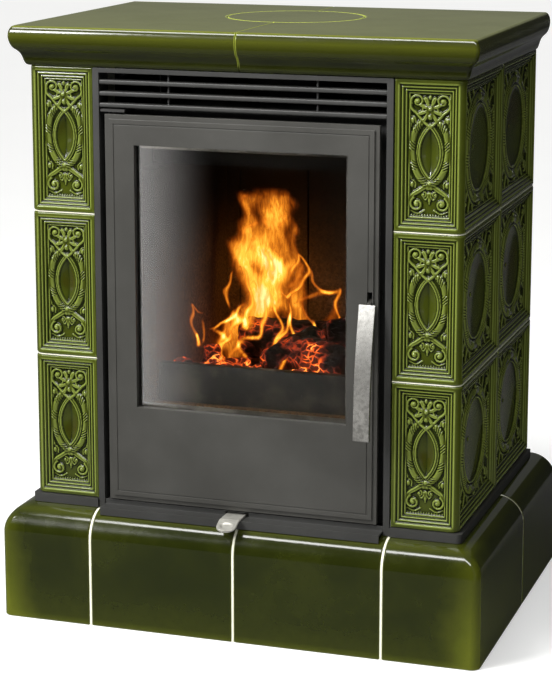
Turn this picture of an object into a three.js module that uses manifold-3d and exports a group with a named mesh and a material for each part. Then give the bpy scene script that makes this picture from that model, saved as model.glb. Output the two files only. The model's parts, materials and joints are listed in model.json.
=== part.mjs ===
// A tiled stove: a steel firebox with a glazed door, dressed in relief tiles on a ceramic base,
// under a moulded ceramic top. Millimetres, +Z up. The front looks along -Y, and the origin lies
// on the floor under the middle of the tiled body.
import * as THREE from 'three';
import { mergeVertices } from 'three/addons/utils/BufferGeometryUtils.js';
import Module from 'manifold-3d';

const wasm = await Module();
wasm.setup();

// ---- Clearances ----
const seat = 0.3; // between two pieces that rest on or touch each other
const turning = 0.3; // round a pin in its bore
const beyond = 60; // how far a cutting block runs past the face it opens

// ---- Tiled body ----
const bodyWidth = 672;
const bodyDepth = 480;
const tileHeight = 220;
const tileRows = 3;
const tileJoint = 2; // cement joint between tiles
const tileThickness = 40;
const tileEdgeRadius = 14; // outer upright edge of a corner tile
const cornerTileFront = 104; // width of a corner tile's front leaf
const cementRecess = 1; // joint cement lies back from the glaze

// ---- Relief on the tiles ----
const borderWidth = 11; // outer raised border
const borderStep = 3.5; // drop from the border to the inner moulding
const mouldingWidth = 8;
const fieldDepth = 9; // drop from the border to the field
const wreathInner = 64;
const wreathOuter = 84;
const wreathRise = 6; // ring over the field
const dishRadius = 62;
const dishDepth = 6; // hollow of the dish under the field
const leafHalfWidth = 30; // pointed oval on a front leaf, over its ribbons
const leafHalfHeight = 51;
const leafRimWidth = 12;
const backRim = 12; // rim round the hollow back of a tile
const backHollow = 14;

// ---- Ceramic base ----
const baseHeight = 178;
const baseOverhang = 43; // past the tiles at the front and the sides
const baseRear = 28; // past the tiles at the back
const baseRound = 43; // radius of the shoulder
const baseCornerRadius = 14;
const baseWall = 18;
const baseLedge = 80; // width of the top, measured from the outer face
const baseJoint = 4; // cement joint between base pieces
const baseCornerWidth = 148; // front width of a corner piece
const baseCornerDepth = 300; // side length of a corner piece

// ---- Plinth tray under the tiles ----
const trayHeight = 13.4;
const trayOverhang = 5;
const trayWidth = 46; // how far it reaches in under the tiles
const traySheet = 3;
const trayCornerRadius = 8;

// ---- Ceramic top ----
const topHeight = 59.7;
const topPlate = 26;
const topRim = 45;
const topRear = -12; // back edge, measured from the back of the tiles
const topCornerRadius = 6;
const coverRadius = 106.5;
const coverThickness = 12.4;
const coverGap = 1;
const coverLedge = 11;
const flueOffset = 24; // flue axis behind the middle of the tiles

// ---- Steel front ----
const sheet = 2;
const stripWidth = 10;
const stripGap = 0.5; // between a strip and its tile
const stripProud = 2; // strip face in front of the tiles
const frameHead = 7; // height of the member over the grille
const barPitch = 17.2;
const barHeight = 6.8;
const barDepth = 16;
const barCount = 3;
const barStandoff = 1; // grille face in front of the tiles
const strutPlace = 115; // grille struts, from the middle
const strutWidth = 3;
const strutDepth = 6;
const sillReach = 24; // front of the sill before the tiles
const sillRise = 7; // top of the sill over the base
const sillSheet = 2.5;
const riserHeight = 7.2;

// ---- Door ----
const doorProud = 6;
const doorThickness = 10;
const doorSideGap = 9.5;
const doorTopGap = 9.4;
const doorFloorGap = 2.8; // over the tray
const doorFlange = 7; // low outer border
const doorFlangeStep = 2.5;
const doorGrooveInset = 14;
const doorGrooveWidth = 1.6;
const doorGrooveDepth = 1;
const windowSideBorder = 47; // door's border beside, under and over the window
const windowFootBorder = 148.5;
const windowHeadBorder = 44.7;
const glassLap = 9.5;
const glassThickness = 4;
const retainerWidth = 15;
const retainerThickness = 2.5;
const ropeWidth = 12;
const ropeThickness = 7.7;
const ribThickness = 3;
const ribHeight = 6;
const hingeInset = 12; // pin axis from the door's left edge
const pinRadius = 4;
const pinLength = 18;
const lugWidth = 14;
const lugDepth = 11;
const lugHeight = 22;
const bracketWidth = 38;
const bracketThickness = 4;

// ---- Handle and latch ----
const gripWidth = 25;
const gripThickness = 5;
const gripLength = 197;
const gripStandoff = 15; // front of the grip at its top, before the tiles
const gripBow = 28.5; // how much further its foot stands out
const gripInset = 13.5; // centre of the grip from the door's right edge
const gripDrop = 259.7; // top of the grip under the top of the door
const latchThickness = 5.8;
const latchArm = 21; // reach behind the pivot
const latchArmHeight = 7.4;
const latchPinRadius = 3;
const cheekThickness = 3.7;
const cheekHalfHeight = 12;
const slotAbove = 15; // slot in the door over and under the pivot
const slotBelow = 26;
const keeperBar = 4;
const keeperHeight = 10;
const keeperWall = 3;

// ---- Firebox ----
const frontPlateSetback = 34;
const steelWall = 4;
const frontPlateGap = 2.5; // beside the front plate, to the frame's strips
const frontPlateDrop = 17; // how far it hangs below the firebox
const fireboxSideGap = 36.5; // from the frame's strips to the firebox
const fireboxFloorGap = 11.3; // over the tray
const fireboxHeadroom = 66; // under the top of the tiles
const fireboxRearGap = 80; // before the back of the tiles
const mouthDrop = 11; // top of the mouth under the firebox's top
const liningThickness = 30;
const liningDrop = 90; // top of the linings under the firebox's top
const hearthRise = 109; // underside of the hearth lining over the firebox's bottom
const ledgeWidth = 20;
const baffleThickness = 25;
const baffleThroat = 72; // gap in front of the baffle
const grateLength = 235;
const grateBorder = 43.2; // hearth beside the grate
const grateThickness = 14.4;
const grateLap = 8;
const grateSlots = 9;
const grateSlotWidth = 9;
const guardSetback = 48;
const guardHeight = 60;
const guardThickness = 8;
const guardFoot = 24;
const panSideGap = 36;
const panLength = 285;
const panHeight = 78;
const panWall = 2;

// ---- Air control ----
const leverWidth = 31;
const leverOffset = -9; // middle of the lever, left of the centre line
const leverThickness = 3;
const leverFlat = 30; // level part before the tiles
const leverTip = 55; // tip before the tiles
const leverDrop = 9.6; // how far the tip bends down
const leverTail = 84;
const slotWidth = 37;
const slotOffset = -7;
const gateWidth = 114;
const gateLength = 66;
const gateThickness = 3;
const portWidth = 80;
const portLength = 24;
const airTravel = 40;

// ---- Flue, back and stand ----
const flueRadius = 75;
const flueWall = 3;
const flueFlange = 15;
const rearFlueFlange = 9;
const flueCollarHeight = 80;
const blankRim = 12;
const rearFlueDrop = 85; // rear flue axis under the firebox's top
const rearFlueReach = 55; // stub past the back of the tiles
const smokeBoxHalfWidth = 90;
const smokeBoxDepth = 40;
const smokeBoxHeight = 170;
const smokeHoleBorder = 20;
const backPanelInset = 3;
const backPanelSheet = 3;
const postSize = 35;
const postSetback = 20; // from the firebox's front plate and its back
const railSize = 25;
const railDrop = 38; // underside of the rails under the top of the base
const footSize = 60;
const footThickness = 5;

// ---- Places worked out from the sizes ----
const front = -bodyDepth / 2;
const back = bodyDepth / 2;
const halfWidth = bodyWidth / 2;
const trayBottom = baseHeight + seat;
const trayTop = trayBottom + trayHeight;
const tileBottom = trayTop + seat;
const rowPitch = tileHeight + tileJoint;
const tileTop = tileBottom + tileRows * rowPitch - tileJoint;
const topBottom = tileTop + seat;
const topLevel = topBottom + topHeight;
const tileInner = halfWidth - tileThickness;
const cornerInner = halfWidth - cornerTileFront;
const cornerTileSide = (bodyDepth - tileJoint) / 2;
const sideSeam = front + cornerTileSide + tileJoint / 2;
const baseHalfWidth = halfWidth + baseOverhang;
const baseFront = front - baseOverhang;
const baseBack = back + baseRear;
const baseSideJoint = baseFront + baseCornerDepth;
const frameOuter = cornerInner - stripGap;
const frameInner = frameOuter - stripWidth;
const frameTop = tileTop - seat;
const frontPlate = front + frontPlateSetback;
const doorFace = front - doorProud;
const doorBack = doorFace + doorThickness;
const doorHalfWidth = frameInner - doorSideGap;
const doorBottom = trayTop + doorFloorGap;
const grilleBottom = frameTop - frameHead - barCount * barPitch;
const doorTop = grilleBottom - doorTopGap;
const ropeBack = doorBack + seat + ropeThickness;
const mouthFront = ropeBack + seat;
const fireboxHalfWidth = frameInner - fireboxSideGap;
const frontPlateHalfWidth = frameInner - frontPlateGap;
const fireboxInner = fireboxHalfWidth - steelWall;
const fireboxRear = back - fireboxRearGap;
const fireboxBottom = trayTop + fireboxFloorGap;
const fireboxTop = tileTop - fireboxHeadroom;
const frontPlateBottom = fireboxBottom - frontPlateDrop;
const mouthTop = fireboxTop - mouthDrop;
const liningTop = fireboxTop - liningDrop;
const floorLevel = fireboxBottom + hearthRise;
const liningInner = fireboxInner - seat - liningThickness;
const hearthLevel = floorLevel + seat + liningThickness;
const grateWidth = 2 * (liningInner - grateBorder);
const panHalfWidth = fireboxInner - panSideGap;
const flueY = flueOffset;
const rearFlueLevel = fireboxTop - rearFlueDrop;
const windowHalfWidth = doorHalfWidth - windowSideBorder;
const windowBottom = doorBottom + windowFootBorder;
const windowTop = doorTop - windowHeadBorder;
const hingeX = -doorHalfWidth + hingeInset;
const hingeY = doorBack + lugDepth / 2;
const gripX = doorHalfWidth - gripInset;
const latchX = gripX + 1;
const gripTop = doorTop - gripDrop;
const pivotY = doorBack + seat + lugDepth / 2;
const pivotZ = gripTop + 2;
const gripBackAtTop = front - gripStandoff + gripThickness;
const sillTop = baseHeight + sillRise;
const leverBottom = sillTop + seat;
const gateTop = fireboxBottom - seat;

// ---- Colours and finishes ----
const finish = (color, roughness, metalness) =>
  new THREE.MeshStandardMaterial({ color, roughness, metalness, flatShading: true });
const glaze = finish(0x6f7a2c, 0.15, 0);
const darkGlaze = finish(0x3d4a16, 0.12, 0);
const cement = finish(0xe9e6cc, 0.9, 0);
const blackSteel = finish(0x3f3f40, 0.55, 0.6);
const castIron = finish(0x464644, 0.6, 0.6);
const bareSteel = finish(0x6a6a68, 0.5, 0.8);
const brushedSteel = finish(0xb9b8b4, 0.35, 1);
const fireclay = finish(0xb08d62, 0.95, 0);
const ropeFibre = finish(0x3a3a38, 1, 0);
const fireGlass = new THREE.MeshStandardMaterial({
  color: 0x2a2a28, roughness: 0.05, metalness: 0, transparent: true, opacity: 0.35,
});

// ---- Solids ----
function toSolid(geometry) {
  const bare = new THREE.BufferGeometry();
  bare.setAttribute('position', geometry.getAttribute('position').clone());
  if (geometry.index) bare.setIndex(geometry.index.clone());
  const merged = mergeVertices(bare);
  const corners = merged.index.array;
  const kept = [];
  for (let i = 0; i < corners.length; i += 3) {
    const [a, b, c] = [corners[i], corners[i + 1], corners[i + 2]];
    if (a !== b && b !== c && c !== a) kept.push(a, b, c);
  }
  return new wasm.Manifold(new wasm.Mesh({
    numProp: 3,
    vertProperties: new Float32Array(merged.getAttribute('position').array),
    triVerts: new Uint32Array(kept),
  }));
}

const joined = (solids) => solids.reduce((whole, solid) => whole.add(solid));
const cutFrom = (solid, cutters) => cutters.reduce((rest, cutter) => rest.subtract(cutter), solid);

// Box between two corners, given as ranges in any order.
function block(xs, ys, zs) {
  const size = [xs, ys, zs].map((range) => Math.abs(range[1] - range[0]));
  const middle = [xs, ys, zs].map((range) => (range[0] + range[1]) / 2);
  return toSolid(new THREE.BoxGeometry(...size).translate(...middle));
}

const asShape = (points) => new THREE.Shape(points.map((point) => new THREE.Vector2(...point)));
const along = {
  // columns: where the outline's two axes and the extrusion's axis point
  x: [[0, 1, 0], [0, 0, 1], [1, 0, 0]],
  y: [[0, 0, 1], [1, 0, 0], [0, 1, 0]],
  z: [[1, 0, 0], [0, 1, 0], [0, 0, 1]],
};

// Outline pushed along an axis. Along x it holds (y, z), along y (z, x), along z (x, y).
function prism(outline, axis, from, to, curveSegments = 8) {
  const shape = Array.isArray(outline) ? asShape(outline) : outline;
  const depth = Math.abs(to - from);
  const geometry = new THREE.ExtrudeGeometry(shape, { depth, bevelEnabled: false, curveSegments });
  geometry.translate(0, 0, Math.min(from, to));
  const columns = along[axis].map((column) => new THREE.Vector3(...column));
  return toSolid(geometry.applyMatrix4(new THREE.Matrix4().makeBasis(...columns)));
}

// Round bar between two points.
function rod(radius, from, to, segments = 16) {
  const start = new THREE.Vector3(...from);
  const end = new THREE.Vector3(...to);
  const direction = end.clone().sub(start);
  const geometry = new THREE.CylinderGeometry(radius, radius, direction.length(), segments);
  const turn = new THREE.Quaternion().setFromUnitVectors(
    new THREE.Vector3(0, 1, 0), direction.clone().normalize());
  geometry.applyQuaternion(turn).translate(...start.add(end).multiplyScalar(0.5).toArray());
  return toSolid(geometry);
}

// Profile of (radius, height) turned about +Z.
function turned(profile, segments) {
  const points = profile.map((point) => new THREE.Vector2(...point));
  return new THREE.LatheGeometry(points, segments).rotateX(Math.PI / 2);
}

// Points round a rectangle with rounded corners, counter-clockwise.
function roundedRing(x0, x1, y0, y1, radius, steps = 4) {
  const corners = [[x1 - radius, y1 - radius, 0], [x0 + radius, y1 - radius, 90],
    [x0 + radius, y0 + radius, 180], [x1 - radius, y0 + radius, 270]];
  return corners.flatMap(([x, y, start]) => Array.from({ length: steps + 1 }, (_, step) => {
    const angle = THREE.MathUtils.degToRad(start + (90 * step) / steps);
    return [x + radius * Math.cos(angle), y + radius * Math.sin(angle)];
  }));
}

// Skin over rings stacked upward, each given as { ring, z }.
function loft(levels) {
  const count = levels[0].ring.length;
  const positions = levels.flatMap(({ ring, z }) => ring.flatMap(([x, y]) => [x, y, z]));
  const faces = [];
  for (let level = 0; level + 1 < levels.length; level += 1) {
    for (let i = 0; i < count; i += 1) {
      const a = level * count + i;
      const b = level * count + ((i + 1) % count);
      faces.push(a, b, b + count, a, b + count, a + count);
    }
  }
  const last = (levels.length - 1) * count;
  for (let i = 1; i + 1 < count; i += 1) {
    faces.push(0, i + 1, i, last, last + i, last + i + 1);
  }
  const geometry = new THREE.BufferGeometry();
  geometry.setAttribute('position', new THREE.Float32BufferAttribute(positions, 3));
  geometry.setIndex(faces);
  return toSolid(geometry);
}

// Flat ring in the door's plane between two rectangles, each [halfWidth, bottom, top].
function uprightRing(outer, inner, y0, y1) {
  const solid = block([-outer[0], outer[0]], [y0, y1], [outer[1], outer[2]]);
  const hole = block([-inner[0], inner[0]], [y0 - 1, y1 + 1], [inner[1], inner[2]]);
  return solid.subtract(hole);
}

const inset = ([half, bottom, top], by) => [half - by, bottom + by, top - by];

const stove = new THREE.Group();

function place(group, name, solid, material) {
  const mesh = solid.getMesh();
  const geometry = new THREE.BufferGeometry();
  geometry.setAttribute('position', new THREE.BufferAttribute(mesh.vertProperties, 3));
  geometry.setIndex(new THREE.BufferAttribute(mesh.triVerts, 1));
  geometry.computeVertexNormals();
  const piece = new THREE.Mesh(geometry, material);
  piece.name = name;
  group.add(piece);
}

const sides = [['left', -1], ['right', 1]];

// ---- Ceramic base ----
// Outer skin of the base, drawn in by some amount: straight walls with a rounded shoulder.
function baseSkin(drawnIn) {
  const radius = baseRound - drawnIn;
  const wallTop = baseHeight - baseRound;
  const steps = 8;
  const levels = [{ in: drawnIn, z: -beyond }];
  for (let step = 0; step <= steps; step += 1) {
    const angle = (Math.PI / 2) * (step / steps);
    levels.push({
      in: drawnIn + radius * (1 - Math.cos(angle)),
      z: wallTop + radius * Math.sin(angle),
    });
  }
  return loft(levels.map((level) => ({
    ring: roundedRing(-baseHalfWidth + level.in, baseHalfWidth - level.in, baseFront + level.in,
      baseBack + beyond, Math.max(baseCornerRadius - drawnIn, 3)),
    z: level.z,
  })));
}

function buildBase() {
  const group = new THREE.Group();
  const wellHalfWidth = baseHalfWidth - baseLedge;
  const hollow = baseSkin(baseWall);
  const well = block([-wellHalfWidth, wellHalfWidth], [baseFront + baseLedge, baseBack + beyond],
    [0, baseHeight + 1]);
  const shellOf = (skin) => cutFrom(skin, [hollow, well])
    .intersect(block([-baseHalfWidth, baseHalfWidth], [baseFront, baseBack], [0, baseHeight]));
  const shell = shellOf(baseSkin(0));
  const cementShell = shellOf(baseSkin(cementRecess));
  const half = baseJoint / 2;
  const cornerJoint = baseHalfWidth - baseCornerWidth;
  const tall = [-1, baseHeight + 1];
  for (const [name, side] of sides) {
    const outer = side * (baseHalfWidth + 1);
    const corner = block([side * (cornerJoint + half), outer], [baseFront - 1, baseSideJoint - half], tall);
    const middle = block([side * half, side * (cornerJoint - half)], [baseFront - 1, 0], tall);
    const rear = block([0, outer], [baseSideJoint + half, baseBack + 1], tall);
    place(group, `base_corner_${name}`, shell.intersect(corner), darkGlaze);
    place(group, `base_middle_${name}`, shell.intersect(middle), darkGlaze);
    place(group, `base_rear_${name}`, shell.intersect(rear), darkGlaze);
    const thin = half - seat;
    const frontCut = block([side * cornerJoint - thin, side * cornerJoint + thin], [baseFront, 0], tall);
    const sideCut = block([0, outer], [baseSideJoint - thin, baseSideJoint + thin], tall);
    place(group, `base_cement_front_${name}`, cementShell.intersect(frontCut), cement);
    place(group, `base_cement_side_${name}`, cementShell.intersect(sideCut), cement);
  }
  const thin = half - seat;
  const middleCut = block([-thin, thin], [baseFront, 0], tall);
  place(group, 'base_cement_middle', cementShell.intersect(middleCut), cement);
  return group;
}

// Folded sheet tray between the base and the tiles, open where the sill lies.
function buildTray() {
  const outerX = halfWidth + trayOverhang;
  const outerFront = front - trayOverhang;
  const sideStrip = (grow) => sides.map(([, side]) => block(
    [side * (outerX - trayWidth + grow), side * (outerX - grow)], [outerFront + grow, back - grow],
    [0, 1]));
  const returns = (grow) => sides.map(([, side]) => block(
    [side * (cornerInner + grow), side * (outerX - grow)],
    [outerFront + grow, outerFront + trayWidth - grow], [0, 1]));
  const rearStrip = (grow) => block([-outerX + grow, outerX - grow],
    [back - trayWidth + grow, back - grow], [0, 1]);
  const slab = (grow, z0, z1) => {
    const flat = joined([...sideStrip(grow), ...returns(grow), rearStrip(grow)]);
    return flat.scale([1, 1, z1 - z0]).translate([0, 0, z0]);
  };
  const rounded = loft([trayBottom - 1, trayTop + 1].map((z) => ({
    ring: roundedRing(-outerX, outerX, outerFront, back + beyond, trayCornerRadius), z,
  })));
  const tray = slab(0, trayBottom, trayTop).intersect(rounded)
    .subtract(slab(traySheet, trayBottom - 1, trayTop - traySheet));
  place(stove, 'plinth_tray', tray, blackSteel);
}

// ---- Tiles ----
// Relief of one leaf in its own plane: x across, y up, z out of the face at z = 0.
function leafRelief(width, height, motif) {
  const halfW = width / 2;
  const halfH = height / 2;
  const stepIn = borderWidth;
  const fieldIn = borderWidth + mouldingWidth;
  const cuts = [
    block([-halfW + stepIn, halfW - stepIn], [-halfH + stepIn, halfH - stepIn], [-borderStep, 1]),
    block([-halfW + fieldIn, halfW - fieldIn], [-halfH + fieldIn, halfH - fieldIn], [-fieldDepth, 1]),
  ];
  return { cuts, ...motif() };
}

function wreathMotif() {
  const buried = -fieldDepth - 2;
  const top = -fieldDepth + wreathRise;
  const edge = 4;
  const ring = turned([[wreathInner, buried], [wreathOuter, buried], [wreathOuter, top - edge],
    [wreathOuter - edge, top], [wreathInner + edge, top], [wreathInner, top - edge],
    [wreathInner, buried]], 28);
  const floor = -fieldDepth - dishDepth;
  const dish = turned([[0, floor], [dishRadius * 0.5, floor + dishDepth * 0.25],
    [dishRadius * 0.85, floor + dishDepth * 0.72], [dishRadius, -fieldDepth], [dishRadius, 2],
    [0, 2]], 28);
  return { adds: [toSolid(ring)], hollows: [toSolid(dish)] };
}

// Pointed oval between two arcs that meet above and below.
function pointedOval(halfW, halfH) {
  const radius = (halfW * halfW + halfH * halfH) / (2 * halfW);
  const angle = Math.asin(halfH / radius);
  const shape = new THREE.Shape();
  shape.absarc(halfW - radius, 0, radius, -angle, angle, false);
  shape.absarc(radius - halfW, 0, radius, Math.PI - angle, Math.PI + angle, false);
  return shape;
}

function ovalMotif() {
  const rim = pointedOval(leafHalfWidth, leafHalfHeight);
  const hollow = pointedOval(leafHalfWidth - leafRimWidth, leafHalfHeight - leafRimWidth);
  return {
    adds: [prism(rim, 'z', -fieldDepth - 2, -fieldDepth + wreathRise, 9)],
    hollows: [prism(hollow, 'z', -fieldDepth - dishDepth / 2, 2, 9)],
  };
}

// Stands a leaf's relief upright: its x runs along `across` and its z along `outward`.
function stand(solid, across, outward, origin) {
  const matrix = new THREE.Matrix4().makeBasis(new THREE.Vector3(...across),
    new THREE.Vector3(0, 0, 1), new THREE.Vector3(...outward)).setPosition(...origin);
  return solid.transform(matrix.elements);
}

function carve(solid, relief, across, outward, origin) {
  const stood = (solids) => solids.map((each) => stand(each, across, outward, origin));
  const raised = joined([cutFrom(solid, stood(relief.cuts)), ...stood(relief.adds)]);
  return cutFrom(raised, stood(relief.hollows));
}

function cornerTile(side, z0) {
  const z1 = z0 + tileHeight;
  const rounded = loft([z0, z1].map((z) => ({
    ring: roundedRing(-halfWidth, halfWidth, front, back + beyond, tileEdgeRadius), z,
  })));
  const leaves = joined([
    block([side * cornerInner, side * halfWidth], [front, front + tileThickness], [z0, z1]),
    block([side * tileInner, side * halfWidth], [front, front + cornerTileSide], [z0, z1]),
  ]).intersect(rounded);
  const hollowZ = [z0 + backRim, z1 - backRim];
  const frontHollow = block([side * (cornerInner + backRim), side * (tileInner - backRim / 2)],
    [front + tileThickness - backHollow, front + tileThickness + 1], hollowZ);
  const sideHollow = block([side * (tileInner - 1), side * (tileInner + backHollow)],
    [front + tileThickness + backRim, front + cornerTileSide - backRim], hollowZ);
  const middleZ = (z0 + z1) / 2;
  const body = cutFrom(leaves, [frontHollow, sideHollow]);
  const withFront = carve(body, leafRelief(cornerTileFront, tileHeight, ovalMotif), [1, 0, 0],
    [0, -1, 0], [side * (halfWidth - cornerTileFront / 2), front, middleZ]);
  return carve(withFront, leafRelief(cornerTileSide, tileHeight, wreathMotif), [0, side, 0],
    [side, 0, 0], [side * halfWidth, front + cornerTileSide / 2, middleZ]);
}

function rearTile(side, z0) {
  const z1 = z0 + tileHeight;
  const y0 = sideSeam + tileJoint / 2;
  const body = block([side * tileInner, side * halfWidth], [y0, back], [z0, z1]);
  const hollow = block([side * (tileInner - 1), side * (tileInner + backHollow)],
    [y0 + backRim, back - backRim], [z0 + backRim, z1 - backRim]);
  return carve(body.subtract(hollow), leafRelief(back - y0, tileHeight, wreathMotif), [0, side, 0],
    [side, 0, 0], [side * halfWidth, (y0 + back) / 2, (z0 + z1) / 2]);
}

// Cement in the joints of one side: a level joint between rows and the upright seam, in one net.
function tileCement(side) {
  const thin = tileJoint / 2 - seat;
  const outer = halfWidth - cementRecess;
  const pieces = [block([side * tileInner, side * outer], [sideSeam - thin, sideSeam + thin],
    [tileBottom, tileTop])];
  for (let row = 1; row < tileRows; row += 1) {
    const z = tileBottom + row * rowPitch - tileJoint / 2;
    const level = [z - thin, z + thin];
    pieces.push(block([side * tileInner, side * outer], [front + cementRecess + tileEdgeRadius, back], level));
    pieces.push(block([side * cornerInner, side * (outer - tileEdgeRadius)],
      [front + cementRecess, front + tileThickness], level));
    pieces.push(prism(cementCorner(side, outer), 'z', ...level));
  }
  return joined(pieces);
}

// Quarter round that follows the corner tile's edge.
function cementCorner(side, outer) {
  const x = outer - tileEdgeRadius;
  const y = front + cementRecess + tileEdgeRadius;
  const arc = Array.from({ length: 5 }, (_, step) => {
    const angle = (Math.PI / 2) * (step / 4);
    return [side * (x + tileEdgeRadius * Math.sin(angle)), y - tileEdgeRadius * Math.cos(angle)];
  });
  return [...arc, [side * (x - 1), y + 1]];
}

function buildTiles() {
  const group = new THREE.Group();
  for (const [name, side] of sides) {
    for (let row = 0; row < tileRows; row += 1) {
      const z0 = tileBottom + row * rowPitch;
      place(group, `corner_tile_${name}_${row + 1}`, cornerTile(side, z0), glaze);
      place(group, `side_tile_${name}_${row + 1}`, rearTile(side, z0), glaze);
    }
    place(group, `tile_cement_${name}`, tileCement(side), cement);
  }
  return group;
}

// ---- Ceramic top ----
// Moulding of the top's edge as [reach past the tiles, height over its underside], upward.
const topMoulding = [[0.5, 0], [3.6, 1.6], [6, 6.5], [7.6, 12], [9.8, 17.5], [13.4, 22.2],
  [18, 26.4], [21, 31.8], [23, 38.5], [23.6, 46], [22.4, 52.5], [19.4, 57.8], [16, 59.7]];

function buildTop() {
  const group = new THREE.Group();
  const scale = topHeight / topMoulding[topMoulding.length - 1][1];
  const skin = loft(topMoulding.map(([reach, height]) => ({
    ring: roundedRing(-halfWidth - reach, halfWidth + reach, front - reach, back + beyond,
      topCornerRadius, 2),
    z: topBottom + height * scale,
  })));
  const rear = back + topRear;
  const rearCut = block([-bodyWidth, bodyWidth], [rear, back + 2 * beyond], [topBottom - 1, topLevel + 1]);
  const hollow = block([-halfWidth + topRim, halfWidth - topRim], [front + topRim, rear - topRim],
    [topBottom - 1, topLevel - topPlate]);
  const through = coverRadius - coverLedge;
  const hole = rod(through, [0, flueY, topBottom], [0, flueY, topLevel + 1], 40);
  const rebate = rod(coverRadius + coverGap, [0, flueY, topLevel - coverThickness - seat],
    [0, flueY, topLevel + 1], 40);
  const slab = cutFrom(skin, [rearCut, hollow, hole, rebate]);
  for (const [name, side] of sides) {
    const half = block([side * seat, side * bodyWidth], [front - beyond, rear + 1],
      [topBottom - 1, topLevel + 1]);
    place(group, `top_half_${name}`, slab.intersect(half), glaze);
  }
  const cover = rod(coverRadius, [0, flueY, topLevel - coverThickness], [0, flueY, topLevel], 40);
  place(group, 'flue_cover', cover, glaze);
  return group;
}

// ---- Steel front: frame, grille and sill ----
function buildFrontFrame() {
  const face = front - stripProud;
  const rear = frontPlate - seat;
  const outline = block([-frameOuter, frameOuter], [face, rear], [trayBottom, frameTop]);
  const doorway = block([-frameInner, frameInner], [face - 1, rear + 1],
    [trayBottom - 1, frameTop - frameHead]);
  const channels = [
    ...sides.map(([, side]) => block([side * (frameInner + sheet), side * (frameOuter + 1)],
      [face + sheet, rear + 1], [trayBottom - 1, frameTop + 1])),
    block([-frameOuter - 1, frameOuter + 1], [face + sheet, rear + 1],
      [frameTop - frameHead + sheet, frameTop + 1]),
  ];
  place(stove, 'front_frame', cutFrom(outline, [doorway, ...channels]), blackSteel);
}

function buildGrille() {
  const face = front - barStandoff;
  const half = frameInner - seat;
  const underHead = frameTop - frameHead - seat;
  const slats = [];
  for (let bar = 0; bar < barCount; bar += 1) {
    const z0 = grilleBottom + bar * barPitch;
    const z1 = z0 + barHeight;
    const nose = 1.2;
    slats.push(prism([[face, z0 + nose], [face + nose, z0], [face + sheet + nose, z0],
      [face + sheet + nose, z1 - sheet], [face + barDepth, z1 - sheet], [face + barDepth, z1],
      [face + nose, z1], [face, z1 - nose]], 'x', -half, half));
  }
  const struts = sides.map(([, side]) => block(
    [side * strutPlace - strutWidth / 2, side * strutPlace + strutWidth / 2],
    [face + barDepth - strutDepth, face + barDepth], [grilleBottom, underHead]));
  place(stove, 'air_grille', joined([...slats, ...struts]), blackSteel);
}

function buildSill() {
  const half = frameInner - seat;
  const face = front - sillReach;
  const rear = front + sheet;
  const drop = Math.sqrt(baseRound ** 2 - (sillReach - sillSheet) ** 2) - baseRound;
  const flangeBottom = baseHeight + drop + seat;
  const riserTop = sillTop + riserHeight;
  const outline = [[face, flangeBottom], [face + sillSheet, flangeBottom],
    [face + sillSheet, sillTop - sillSheet], [rear, sillTop - sillSheet], [rear, riserTop],
    [rear - sillSheet, riserTop], [rear - sillSheet, sillTop], [face, sillTop]];
  const slot = block([slotOffset - slotWidth / 2, slotOffset + slotWidth / 2],
    [rear - sillSheet - 1, rear + 1], [sillTop, riserTop - 1.2]);
  place(stove, 'sill', prism(outline, 'x', -half, half).subtract(slot), blackSteel);
}

// ---- Door ----
function buildDoor() {
  const group = new THREE.Group();
  const outline = [doorHalfWidth, doorBottom, doorTop];
  const windowHole = [windowHalfWidth, windowBottom, windowTop];
  const mouthMiddle = fireboxHalfWidth - steelWall / 2;
  const ropeOuter = [mouthMiddle + ropeWidth / 2, fireboxBottom + steelWall / 2 - ropeWidth / 2,
    mouthTop - steelWall / 2 + ropeWidth / 2];
  const ribInner = inset(ropeOuter, -seat);
  const hingeLugs = [[doorTop - lugHeight, doorTop], [doorBottom, doorBottom + lugHeight]];
  const slot = block([latchX - latchThickness / 2 - 1, latchX + latchThickness / 2 + 1],
    [doorFace - 1, doorBack + 1], [pivotZ - slotBelow, pivotZ + slotAbove]);
  const grooveOuter = inset(outline, doorGrooveInset);
  const frame = cutFrom(
    joined([
      block([-doorHalfWidth, doorHalfWidth], [doorFace, doorBack], [doorBottom, doorTop]),
      uprightRing(inset(ribInner, -ribThickness), ribInner, doorBack - 1, doorBack + ribHeight),
      ...hingeLugs.map((zs) => block([hingeX - lugWidth / 2, hingeX + lugWidth / 2],
        [doorBack - 1, doorBack + lugDepth], zs)),
    ]),
    [
      block([-windowHalfWidth, windowHalfWidth], [doorFace - 1, doorBack + 1],
        [windowBottom, windowTop]),
      uprightRing(inset(outline, -1), inset(outline, doorFlange), doorFace - 1,
        doorFace + doorFlangeStep),
      uprightRing(grooveOuter, inset(grooveOuter, doorGrooveWidth), doorFace - 1,
        doorFace + doorGrooveDepth),
      slot,
      rod(pinRadius + turning, [hingeX, hingeY, doorTop - pinLength], [hingeX, hingeY, doorTop + 1]),
      rod(pinRadius + turning, [hingeX, hingeY, doorBottom - 1],
        [hingeX, hingeY, doorBottom + pinLength]),
    ],
  );
  place(group, 'door_frame', frame, castIron);

  const glassY = doorBack + seat;
  const glassOutline = inset(windowHole, -glassLap);
  place(group, 'door_glass', block([-glassOutline[0], glassOutline[0]],
    [glassY, glassY + glassThickness], [glassOutline[1], glassOutline[2]]), fireGlass);
  const retainerY = glassY + glassThickness + seat;
  place(group, 'glass_retainer', uprightRing(glassOutline, inset(glassOutline, retainerWidth),
    retainerY, retainerY + retainerThickness), bareSteel);
  place(group, 'door_rope', uprightRing(ropeOuter, inset(ropeOuter, ropeWidth), doorBack + seat,
    ropeBack), ropeFibre);
  return group;
}

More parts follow.
